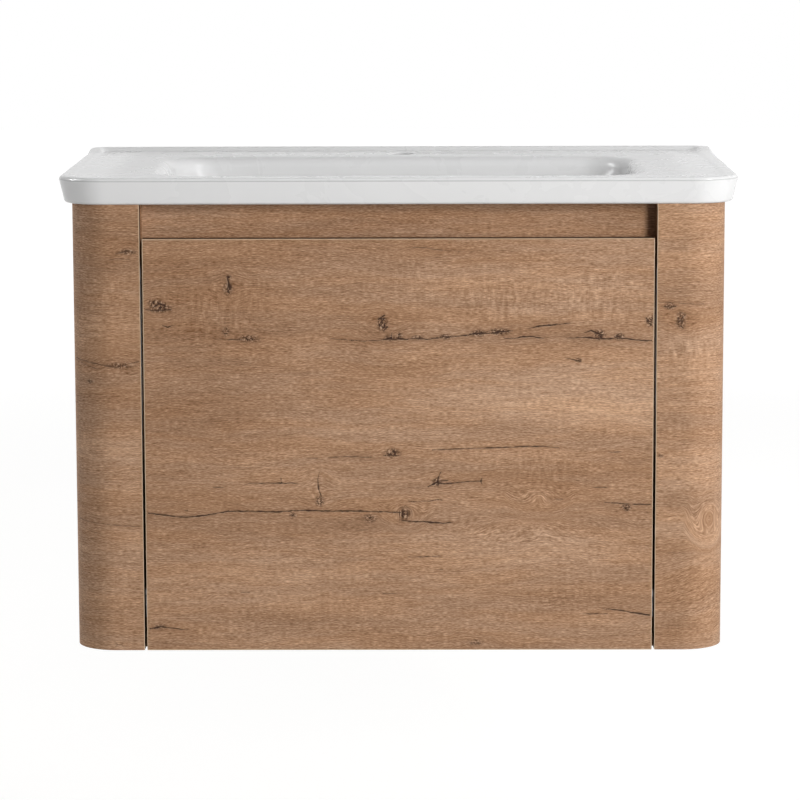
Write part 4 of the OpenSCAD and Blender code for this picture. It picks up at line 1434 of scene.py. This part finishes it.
    def lathe(self, profile: Sequence[FlatPoint], centre: Point, toward_y: bool = False,
              steps: int = 48) -> Shape:
        """A turned cutter for a hole.

        Args:
            profile: Radius and distance along the axis, in order.
            centre: Where the axis starts.
            toward_y: Whether the axis runs along Y instead of Z.
            steps: Steps round it.

        Returns:
            Points and faces.
        """
        points: list[Point] = []
        for r, along in profile:
            for k in range(steps):
                a = 2 * math.pi * k / steps
                u, v = r * math.cos(a), r * math.sin(a)
                offset = (u, along, -v) if toward_y else (u, v, along)
                points.append(tuple(c + o for c, o in zip(centre, offset)))
        return points, closed_skin(len(profile), steps)

    def tap_profile(self, ease: float = 0.0015, mouth: float = -0.0002,
                    beyond: float = 0.004) -> list[FlatPoint]:
        """Profile of the tap hole, which widens towards its mouth in an arc.

        Args:
            ease: Radius of the arc.
            mouth: Height of the arc's end over the deck.
            beyond: How far the cutter reaches over the mouth.

        Returns:
            Radius and height over the deck, from below.
        """
        arc = [(self.tap_r + ease * (1 - math.cos(a)), mouth - ease * (1 - math.sin(a)))
               for a in np.radians(np.linspace(0, 80, 6))]
        return [(self.tap_r, -self.tap_cut), *arc, (self.tap_r + ease * 1.4, mouth + beyond)]

    def cutters(self) -> list[Shape]:
        """Cutters for the tap hole, the waste and the overflow.

        Returns:
            Their points and faces.
        """
        tap = self.lathe(self.tap_profile(), (0.0, self.tap_y, self.base_z + self.deck_z))
        seat_r = self.waste_r + self.seat_w
        waste = self.lathe([
            (self.waste_r, -self.waste_cut), (self.waste_r, -self.seat_h - self.seat_ease),
            (self.waste_r + self.seat_ease, -self.seat_h), (seat_r - self.cut_over, -self.seat_h),
            (seat_r, self.cut_over),
        ], (0.0, self.waste_y, self.base_z + self.floor_z))
        spill_y = self.wall_back(self.overflow_wall) - self.overflow_start
        spill = self.lathe([(self.overflow_r, 0.0), (self.overflow_r, self.overflow_l)],
                           (0.0, spill_y, self.base_z + self.overflow_z), toward_y=True)
        return [tap, waste, spill]

    def build(self, groups: SurfaceGroups) -> bpy.types.Object:
        """Builds the casting and cuts its holes.

        Args:
            groups: The shared node groups.

        Returns:
            The piece.
        """
        rings = self.rings()
        count = len(rings[0])
        points = [p for ring in rings for p in ring]
        piece = new_piece("ceramic_basin", (points, closed_skin(len(rings), count)),
                          self.finish.material(groups), "cabinet", ["basin"])
        # Marks the ring on the rim's arris where the glaze paints a grey band as its dark reflection.
        arris_band = np.zeros(len(points))
        start = (1 + self.bowl_steps + self.edge_steps + self.step_steps + self.arris_ring) * count
        arris_band[start:start + count] = 1.0
        carry(piece, {"painted_arris_reflection": arris_band})
        tools = []
        for number, shape in enumerate([self.duct_casting(), *self.cutters()]):
            tool = new_object("tool", new_mesh("tool", *shape))
            step = piece.modifiers.new("casting", "BOOLEAN")
            step.operation = "UNION" if number == 0 else "DIFFERENCE"
            step.solver = "EXACT"
            step.object = tool
            tools.append(tool)
        bpy.context.view_layer.update()
        shaped = piece.evaluated_get(bpy.context.evaluated_depsgraph_get())
        mesh = bpy.data.meshes.new_from_object(shaped)
        piece.modifiers.clear()
        piece.data = mesh
        for tool in tools:
            bpy.data.objects.remove(tool)
        smooth(mesh)
        mesh.set_sharp_from_angle(angle=math.radians(self.sharp))
        return piece


# ---- Carried-over nodes ----


@dataclass
class CarriedNodes:
    """CAD nodes that stay in view, each with its finish and eased edges."""

    finishes: dict[Slot, bpy.types.Material]
    boards: dict[str, bpy.types.Material]
    edges: dict[Slot, float] = field(default_factory=lambda: {
        Slot.BOARD: 0.0004, Slot.OAK_EDGE: 0.0002, Slot.GALVANISED: 0.00025, Slot.ZINC: 0.0002,
        Slot.GREY_PLASTIC: 0.0004, Slot.DARK_PLASTIC: 0.0004, Slot.RUBBER: 0.0003, Slot.OAK: 0.0004,
    })

    def dress(self) -> int:
        """Dresses every CAD node that is still shown.

        Returns:
            How many nodes were dressed.
        """
        slots = {part["node"]: Slot(part["material_slot"]) for part in frame["record"]["subparts"]}
        shown = {name: node for name, node in frame["nodes"].items() if not node.hide_render}
        for name, node in shown.items():
            node.material_slots[0].material = self.boards.get(name, self.finishes[slots[name]])
            ease_edges(node, self.edges[slots[name]])
        return len(shown)


# ---- Studio ----


@dataclass(frozen=True)
class SoftLamp:
    """A rectangular soft lamp: its direction and distance from the cabinet, size, and share of the light."""

    name: str
    azimuth: float
    elevation: float
    distance: float
    width: float
    height: float
    share: float
    mirrored: bool = False
    aim: Point = (0.0, -0.25, -0.10)
    watts_for_full_share: float = 9.87

    def hang(self) -> None:
        """Hangs the lamp; azimuth 0 is straight in front, positive to the right.

        A mirrored lamp is seen in shiny surfaces only, any other lamp lights only matt ones.
        """
        light = bpy.data.lights.new(self.name, "AREA")
        light.shape = "RECTANGLE"
        light.size, light.size_y = self.width, self.height
        light.energy = self.watts_for_full_share * self.share * self.distance ** 2
        lamp = new_object(self.name, light)
        a, e = math.radians(self.azimuth), math.radians(self.elevation)
        way = Vector((math.sin(a) * math.cos(e), -math.cos(a) * math.cos(e), math.sin(e)))
        lamp.location = Vector(self.aim) + way * self.distance
        lamp.rotation_euler = (-way).to_track_quat("-Z", "Y").to_euler()
        lamp.visible_glossy = self.mirrored
        lamp.visible_diffuse = not self.mirrored


@dataclass
class Studio:
    """Pale floor, white surroundings, soft lamps, and the camera at the photograph's place."""

    floor_z: float = -0.80
    floor_half: float = 14.0
    floor_dark: Colour = linear(158, 157, 155)
    floor_light: Colour = linear(164, 163, 161)
    floor_rough: float = 0.9
    floor_gloss: float = 0.1
    floor_glow: FlatPoint = (0.76, 0.98)
    glow_reach: FlatPoint = (1.2, 6.0)
    camera_place: Point = (0.026, -4.447, 0.459)
    pitch_down: float = 8.464
    yaw_left: float = 0.35
    roll: float = -0.16
    lens: float = 152.7
    film_w: float = 36.0
    sight: float = 100.0
    ambient: float = 0.08
    lamps: tuple[SoftLamp, ...] = (
        SoftLamp("key_lamp", 22.0, 12.0, 4.2, 0.8, 1.9, 0.70),
        SoftLamp("left_panel", -112.0, 8.0, 3.4, 0.9, 1.8, 0.43),
        SoftLamp("right_panel", 80.0, 8.0, 3.4, 0.9, 1.8, 0.33),
        SoftLamp("top_lamp", 80.0, 64.0, 2.7, 1.4, 1.4, 0.22),
        SoftLamp("rear_lamp", 170.0, 30.0, 3.4, 1.6, 1.4, 0.22),
        SoftLamp("left_glint", -92.0, 35.0, 3.4, 0.6, 1.6, 0.55, mirrored=True),
        SoftLamp("right_glint", 51.0, 35.0, 3.4, 0.4, 1.6, 0.25, mirrored=True),
    )

    def floor(self) -> None:
        """Lays the floor, which isn't part of the object."""
        h, z = self.floor_half, self.floor_z
        mesh = new_mesh("studio_floor", [(-h, -h, z), (h, -h, z), (h, h, z), (-h, h, z)], [(0, 1, 2, 3)])
        skin = Skin("pale_floor")
        place = skin.own_place()
        cloud = skin.noise(place, 1.5, 3.0)
        skin.give(Base_Color=skin.mix(cloud, self.floor_dark, self.floor_light),
                  Roughness=self.floor_rough, Specular_IOR_Level=self.floor_gloss)
        away = skin.vector("LENGTH", place, out="Value")
        glow = skin.node("ShaderNodeEmission", {
            "Color": (1.0, 1.0, 1.0), "Strength": skin.span(away, *self.glow_reach, *self.floor_glow),
        })
        lit = skin.shader.outputs[0]
        both = skin.node("ShaderNodeAddShader", {0: lit, 1: glow.outputs[0]})
        chosen = skin.node("ShaderNodeMixShader", {0: skin.seen(), 1: lit, 2: both.outputs[0]})
        skin.feed(skin.tree.nodes["Material Output"].inputs["Surface"], chosen.outputs[0])
        mesh.materials.append(skin.material)
        new_object("studio_floor", mesh)

    def surroundings(self) -> None:
        """Lights the scene from all round, and shows white to the camera and in reflections."""
        world = bpy.data.worlds.new("white_room")
        world.use_nodes = True
        bpy.context.scene.world = world
        tree = Tree(world.node_tree)
        strength = tree.span(tree.seen(), 0.0, 1.0, self.ambient, 1.0)
        tree.feed_named(world.node_tree.nodes["Background"], {"Color": (1.0, 1.0, 1.0), "Strength": strength})

    def camera(self) -> None:
        """Sets up the camera."""
        data = bpy.data.cameras.new("camera")
        data.sensor_width = self.film_w
        data.lens = self.lens
        data.clip_end = self.sight
        camera = new_object("camera", data)
        turn = Matrix.Rotation(math.radians(self.yaw_left), 4, "Z")
        turn = turn @ Matrix.Rotation(math.radians(90 - self.pitch_down), 4, "X")
        turn = turn @ Matrix.Rotation(math.radians(self.roll), 4, "Z")
        camera.matrix_world = Matrix.Translation(Vector(self.camera_place)) @ turn
        bpy.context.scene.camera = camera

    def build(self) -> None:
        """Builds the whole studio."""
        self.floor()
        self.surroundings()
        for lamp in self.lamps:
            lamp.hang()
        self.camera()
        bpy.context.scene.view_settings.view_transform = "Standard"


# ---- Figure of each board, in millimetres on its unrolled face ----

DRAWER_FIGURE = Figure(
    cracks=(
        Crack(((-291, -24, 0.9), (-284, -20, 2.1), (-276, -23, 1.2)), stain=8),
        Crack(((-302, -27, 0.7), (-288, -28, 1.3), (-270, -27, 0.6)), stain=12),
        Crack(((-280, -46, 0.9), (-274, -48, 1.6), (-269, -46, 0.7)), 0.9),
        Crack(((-203, 13, 0.6), (-201, 5, 2.4), (-200, -2, 1.8), (-203, -7, 0.6)), 0.9, 8),
        Crack(((-205, -38, 0.6), (-207, -50, 1.2), (-205, -61, 0.6)), 0.35, 9),
        Crack(((-219, -62, 0.5), (-198, -63, 1.0), (-166, -62, 0.5)), 0.75),
        Crack(((19, 47, 0.5), (34, 46, 0.7), (52, 43, 0.8), (71, 42, 0.5)), 0.6),
        Crack(((6, 23, 1.8), (19, 22, 1.8)), 0.25, 7),
        Crack(((-16, -34, 1.0), (-24, -39, 1.1), (-17, -38, 1.2), (-21, -43, 1.1), (-19, -49, 1.3),
               (-13, -48, 1.0), (-18, -53, 1.1)), 0.95, 4),
        Crack(((-80, -62, 0.5), (-43, -65, 0.5), (-22, -64, 0.7), (-11, -62, 1.9), (-4, -63, 1.2),
               (0, -62, 1.8),
               (8, -63, 1.0), (23, -62, 1.3), (34, -63, 1.0), (49, -61, 1.0), (54, -60, 1.8), (64, -60, 1.0),
               (83, -58, 1.0), (91, -56, 2.0), (110, -56, 1.4), (121, -54, 2.0), (135, -53, 0.5)), 1.0, 9),
        Crack(((-9, -61, 1.0), (-8, -56, 0.6)), 0.9, 3),
        Crack(((0, -62, 1.1), (1, -56, 0.6)), 0.95, 3),
        Crack(((100, -55, 1.0), (116, -52, 0.7)), 0.6, 5),
        Crack(((126, -62, 0.5), (138, -62, 0.8), (148, -60, 1.4), (158, -60, 1.1), (172, -62, 0.5)), 0.95, 7),
        Crack(((155, -50, 0.5), (170, -47, 1.4), (184, -46, 1.4), (203, -44, 0.5)), 0.95, 7),
        Crack(((200, -62, 0.5), (221, -61, 1.1), (242, -63, 1.6), (265, -62, 1.1), (289, -65, 1.1),
               (303, -65, 1.1)), 0.9, 9),
        Crack(((221, -55, 0.6), (229, -53, 1.3), (238, -57, 1.6), (242, -63, 1.0)), 0.9, 5),
        Crack(((259, -59, 1.8), (264, -60, 1.8)), 0.9, 4),
        Crack(((293, -36, 0.6), (299, -47, 1.6), (303, -34, 0.7)), 0.7, 4),
        Crack(((200, -86, 0.6), (208, -88, 1.7), (217, -90, 0.5)), 0.8, 4),
        Crack(((55, -73, 0.6), (55, -94, 0.6)), 0.32, 6),
        Crack(((40, -196, 0.8), (70, -195, 0.9), (99, -194, 1.0), (131, -193, 1.1), (151, -192, 1.1),
               (173, -192, 0.9), (191, -194, 0.5)), 0.85, 4, 0.15),
        Crack(((-84, -205, 0.5), (-60, -204, 0.9), (-32, -205, 0.5)), 0.7, 4, 0.2),
        Crack(((-18, -203, 0.6), (-10, -202, 1.9), (0, -203, 0.6)), 0.9, 5),
        Crack(((-9, -202, 1.1), (-6, -196, 0.6)), 0.8, 4),
        Crack(((-109, -206, 0.6), (-103, -206, 1.0), (-97, -206, 0.5)), 0.6, 3),
        Crack(((251, -199, 0.6), (262, -199, 0.8)), 0.6, 3),
        Crack(((-222, -241, 0.6), (-210, -241, 0.8)), 0.6, 3),
        Crack(((-178, -236, 0.5), (-150, -236, 1.1), (-139, -236, 1.3), (-121, -236, 0.5)), 0.8, 5),
        Crack(((-140, -236, 1.0), (-141, -230, 0.6)), 0.8, 3),
        Crack(((-95, -223, 0.7), (-97, -232, 1.7), (-96, -243, 1.6), (-93, -252, 1.7), (-94, -263, 0.7)),
               0.6, 5),
        Crack(((50, -223, 0.6), (47, -230, 1.1), (46, -235, 2.4), (36, -240, 0.5)), 1.0, 5),
        Crack(((46, -236, 1.8), (55, -237, 1.3), (68, -236, 1.1), (76, -235, 0.7), (97, -234, 0.5)), 1.0, 6),
        Crack(((47, -234, 1.2), (58, -233, 0.6)), 0.9, 4),
        Crack(((1, -242, 0.5), (32, -242, 0.5)), 0.4, 4),
        Crack(((11, -258, 1.0), (17, -259, 1.1), (31, -258, 0.5), (38, -258, 0.6), (46, -256, 1.2),
               (52, -257, 0.5)), 0.7, 4),
        Crack(((-302, -272, 1.2), (-285, -274, 1.1), (-263, -277, 1.4), (-251, -277, 1.3), (-232, -275, 1.3),
               (-204, -270, 1.1), (-178, -270, 1.4), (-148, -271, 1.4), (-118, -269, 1.2), (-85, -270, 1.4),
               (-50, -270, 1.3), (-20, -271, 1.1), (2, -272, 0.6)), 0.92, 6),
        Crack(((1, -266, 0.8), (8, -264, 1.1), (15, -269, 1.0), (16, -277, 1.0), (8, -282, 1.2),
               (1, -278, 1.0),
               (1, -266, 0.8)), 0.5, 7),
        Crack(((1, -281, 1.0), (16, -283, 1.7), (29, -283, 1.4), (40, -284, 1.7), (53, -285, 1.1),
               (66, -284, 0.5)), 0.9, 7),
        Crack(((-256, -269, 1.2), (-253, -269, 1.2)), 0.7, 3),
        Crack(((-129, -275, 1.2), (-126, -275, 1.0)), 0.6, 3),
        Crack(((-36, -278, 1.1), (-33, -278, 1.0)), 0.6, 3),
        Crack(((-47, -293, 1.0), (-38, -293, 0.6)), 0.5, 3),
        Crack(((235, -242, 0.6), (246, -242, 1.0)), 0.6, 3),
        Crack(((246, -260, 0.6), (260, -261, 1.1), (275, -262, 1.3), (303, -263, 1.0)), 0.8, 6),
        Crack(((269, -265, 1.1), (273, -270, 1.4), (276, -265, 1.1)), 0.75, 4),
        Crack(((185, -256, 0.6), (196, -256, 1.1)), 0.65, 3),
        Crack(((12, -326, 0.5), (26, -326, 1.1), (49, -325, 0.5)), 0.7, 3, 0.1),
        Crack(((49, -342, 1.1), (52, -342, 1.0)), 0.5, 3),
        Crack(((-19, -371, 0.6), (-11, -371, 1.0), (-4, -371, 0.5)), 0.6, 3),
        Crack(((-190, -369, 0.6), (-180, -369, 1.1)), 0.65, 3),
        Crack(((178, -360, 0.6), (208, -360, 0.6)), 0.35, 3),
        Crack(((-302, -414, 1.2), (-287, -411, 1.6), (-272, -413, 1.2), (-256, -415, 0.5)), 0.9, 7),
        Crack(((225, -396, 0.5), (238, -396, 1.3), (250, -396, 0.6)), 0.75, 4),
        Crack(((245, -390, 0.6), (262, -391, 1.3), (283, -395, 1.7), (303, -398, 1.4)), 0.95, 9),
        Crack(((82, -427, 1.8), (92, -433, 1.8)), 0.3, 7),
    ),
    # Soft tone patches of the decor; together they also paint light and shade, the front darker on the left
    # and lighter on the right.
    patches=(
        Patch(-230, -60, 130, 90, -0.14), Patch(-280, 0, 60, 80, -0.10), Patch(-240, -170, 170, 80, -0.07),
        Patch(-20, -60, 60, 40, -0.09), Patch(160, -62, 190, 26, -0.08), Patch(230, 20, 190, 80, 0.11),
        Patch(70, 0, 110, 60, 0.06), Patch(200, -120, 240, 70, 0.07), Patch(240, -60, 300, 420, 0.05),
        Patch(40, -255, 130, 34, 0.09), Patch(140, -310, 260, 38, 0.11), Patch(-20, -198, 110, 26, -0.06),
        Patch(190, -232, 80, 24, -0.07), Patch(-200, -300, 190, 40, 0.05), Patch(-120, -400, 320, 60, -0.05),
        Patch(180, -388, 120, 22, -0.04), Patch(-285, -430, 60, 60, -0.08), Patch(168, -254, 16, 14, 0.10),
        Patch(-282, -5, 20, 14, 0.10), Patch(-273, -40, 14, 6, 0.10), Patch(38, 26, 14, 12, 0.10),
        Patch(-130, -378, 90, 9, 0.05),
    ),
    flakes=(
        Patch(-215, -25, 110, 70, 0.9), Patch(120, -18, 90, 45, 1.0), Patch(235, -15, 90, 60, 1.0),
        Patch(20, 10, 80, 60, 0.6), Patch(190, -380, 70, 22, 0.8), Patch(-60, -392, 260, 24, 0.5),
        Patch(180, -215, 90, 34, 0.7), Patch(8, -272, 26, 18, 0.9), Patch(90, -205, 120, 16, 0.4),
    ),
    chips=(
        Patch(-283, -24, 17, 9, 1.0), Patch(-290, -18, 11, 6, 0.9), Patch(-202, -2, 8, 11, 1.0),
        Patch(-201, 11, 5, 5, 0.9), Patch(-205, -53, 7, 9, 0.7), Patch(-178, -62, 20, 7, 0.7),
        Patch(-19, -44, 9, 13, 1.0), Patch(-10, -61, 9, 5, 0.9), Patch(1, -59, 6, 6, 0.9),
        Patch(22, -61, 10, 4, 0.8),
        Patch(56, -60, 12, 5, 0.8), Patch(95, -56, 13, 6, 0.9), Patch(120, -54, 18, 6, 0.9),
        Patch(239, -58, 10, 9, 1.0), Patch(262, -60, 9, 7, 0.9), Patch(299, -42, 9, 10, 0.9),
        Patch(-8, -200, 14, 8, 0.8), Patch(46, -235, 9, 9, 0.8), Patch(-95, -258, 8, 9, 0.8),
        Patch(6, -274, 11, 11, 0.8), Patch(-35, -279, 12, 8, 0.6), Patch(-127, -275, 7, 6, 0.7),
        Patch(214, -88, 6, 4, 0.7), Patch(272, -266, 9, 6, 0.8), Patch(-288, -411, 12, 5, 0.5),
        Patch(92, -431, 14, 6, 0.5),
    ),
    bends=(
        Bend(168, -255, 42, 30, 0.2, 0.0, 0.7), Bend(165, -282, 120, 30, 0.0, 13.0),
        Bend(-19, -44, 40, 34, 0.6), Bend(-202, 0, 34, 34, 0.7), Bend(46, -236, 34, 22, 0.6),
        Bend(-95, -243, 32, 38, 0.6), Bend(8, -272, 34, 26, 0.4, 0.0, 0.6), Bend(-284, -22, 30, 24, 0.6),
        Bend(-10, -100, 110, 40, 0.0, -7.0), Bend(-9, -200, 26, 16, 0.5),
    ),
)

LEFT_FIGURE = Figure(
    cracks=(
        Crack(((-334, 40, 0.6), (-325, 42, 1.7), (-318, 43, 1.4), (-310, 42, 0.8)), 0.85, 5),
        Crack(((-341, 33, 0.5), (-330, 34, 1.1), (-319, 33, 0.5)), 0.7, 4),
        Crack(((-400, -88, 0.8), (-375, -90, 1.0), (-355, -93, 1.2), (-335, -96, 1.3), (-322, -92, 1.1),
               (-309, -89, 1.1)), 0.8, 9),
        Crack(((-385, -92, 0.5), (-362, -98, 1.0), (-345, -98, 0.5)), 0.6, 6),
        Crack(((-372, -114, 1.3), (-368, -114, 1.0)), 0.75, 4),
        Crack(((-395, -283, 0.6), (-350, -286, 0.8), (-309, -289, 0.6)), 0.6, 4, 0.3),
        Crack(((-392, -292, 0.5), (-359, -298, 0.6)), 0.5, 4, 0.3),
        Crack(((-339, -433, 1.1), (-335, -433, 1.0)), 0.5, 3),
    ),
    patches=(
        Patch(-345, 25, 60, 26, -0.06), Patch(-335, -10, 80, 40, 0.10), Patch(-350, -110, 90, 46, -0.08),
        Patch(-350, -210, 90, 60, 0.05), Patch(-333, -356, 34, 34, 0.12), Patch(-350, 80, 90, 30, -0.06),
        Patch(-360, -300, 90, 30, -0.05),
    ),
    flakes=(Patch(-350, 0, 70, 60, 0.6), Patch(-340, -360, 60, 40, 0.5), Patch(-600, -200, 200, 200, 0.4)),
    chips=(Patch(-320, 42, 14, 5, 0.9), Patch(-330, -94, 24, 6, 0.7), Patch(-370, -114, 7, 4, 0.8)),
    bends=(Bend(-335, -94, 60, 30, 0.5, 4.0), Bend(-322, 38, 30, 20, 0.5),
    Bend(-560, -180, 110, 70, 0.3, 12.0)),
)

RIGHT_FIGURE = Figure(
    cracks=(
        Crack(((309, -19, 0.6), (330, -20, 0.9), (363, -22, 0.5)), 0.6, 5, 0.3),
        Crack(((315, -24, 1.2), (322, -25, 2.0), (329, -24, 0.8)), 0.85, 5),
        Crack(((333, -31, 0.8), (340, -34, 1.6), (335, -40, 1.6), (331, -45, 1.3), (338, -50, 1.0)), 0.9, 5),
        Crack(((311, -204, 1.4), (314, -204, 1.2)), 0.5, 3),
        Crack(((310, -320, 0.5), (370, -324, 0.5)), 0.4, 3, 0.3),
        Crack(((364, -422, 0.8), (369, -422, 0.7)), 0.5, 3),
    ),
    patches=(
        Patch(330, -410, 44, 16, -0.06), Patch(340, -75, 70, 40, 0.07), Patch(335, -40, 34, 18, -0.08),
        Patch(345, -215, 80, 26, 0.09), Patch(340, -255, 80, 30, -0.06), Patch(375, -283, 16, 16, -0.16),
        Patch(318, -420, 60, 40, -0.06),
    ),
    flakes=(
        Patch(342, -76, 44, 40, 1.0), Patch(330, -410, 44, 20, 0.7), Patch(600, -250, 200, 180, 0.4),
    ),
    chips=(Patch(322, -24, 10, 6, 0.9), Patch(335, -41, 9, 14, 1.0), Patch(312, -204, 6, 4, 0.6)),
    bends=(
        Bend(375, -283, 34, 44, 0.2, 0.0, 0.9), Bend(380, -350, 80, 60, 0.0, 16.0),
        Bend(335, -41, 34, 28, 0.6),
        Bend(560, -120, 120, 70, 0.3, 14.0),
    ),
)


# ---- The whole look ----


# ---- The whole look ----


def carried_finishes(groups: SurfaceGroups) -> dict[Slot, bpy.types.Material]:
    """Finishes of the CAD nodes that stay in view.

    Args:
        groups: The shared node groups.

    Returns:
        One material for each slot.
    """
    finishes = {
        Slot.OAK: OakFinish("base_oak", 41.3, GrainPlace.ALONG_X),
        Slot.OAK_EDGE: EdgeBandFinish("oak_edge_band", light=linear(214, 188, 160),
                                      dark=linear(196, 168, 138), gap_shade=linear(84, 62, 45)),
        Slot.BOARD: BoardFinish("white_melamine", linear(226, 225, 221)),
        Slot.GALVANISED: SteelFinish("spangled_sheet", light=linear(196, 198, 200),
                                     dark=linear(160, 163, 166), spangled=True,
                                     rough_low=0.30, rough_high=0.46),
        Slot.ZINC: SteelFinish("bright_zinc", light=linear(206, 208, 212), dark=linear(172, 175, 180),
                               spangled=False, rough_low=0.22, rough_high=0.38),
        Slot.GREY_PLASTIC: PlasticFinish("grey_moulding", light=linear(150, 153, 157),
                                         dark=linear(138, 141, 145), rough=0.5),
        Slot.DARK_PLASTIC: PlasticFinish("dark_moulding", light=linear(58, 60, 64), dark=linear(46, 48, 51),
                                         rough=0.45),
        Slot.RUBBER: PlasticFinish("clear_rubber", light=linear(200, 200, 196), dark=linear(184, 184, 178),
                                   rough=0.35, grit=900.0),
    }
    return {slot: finish.material(groups) for slot, finish in finishes.items()}


def main() -> None:
    """Builds the cabinet's look and the studio."""
    logging.basicConfig(level=logging.INFO, format="%(name)s: %(message)s")
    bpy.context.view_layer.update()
    groups = SurfaceGroups()
    makers = [
        BasinCasting(GlazeFinish("sanitary_glaze", white=linear(231, 231, 231), shade=linear(229, 229, 229))),
        BentSide("bent_oak_side_left", "curved_side_left", "cabinet",
                 OakFinish("left_side_oak", 11.7, ink=0.72), LEFT_FIGURE, side=Side.LEFT),
        BentSide("bent_oak_side_right", "curved_side_right", "cabinet",
                 OakFinish("right_side_oak", 23.4, ink=0.74), RIGHT_FIGURE, side=Side.RIGHT),
        OakPanel("drawer_front_board", "drawer_front", "drawer", OakFinish("drawer_oak", 3.1), DRAWER_FIGURE),
        OakPanel("recess_oak_rail", "recess_rail", "cabinet", OakFinish("rail_oak", 37.9)),
    ]
    for maker in makers:
        piece = maker.build(groups)
        LOG.info("built %s with %d faces", piece.name, len(piece.data.polygons))
    side_oak = OakFinish("inner_side_oak", 52.6, GrainPlace.ALONG_Y, gloss=0.0).material(groups)
    boards = {"inner_side_left": side_oak, "inner_side_right": side_oak}
    dressed = CarriedNodes(carried_finishes(groups), boards).dress()
    LOG.info("dressed %d carried-over nodes", dressed)
    Studio().build()


if __name__ == "__main__":
    main()
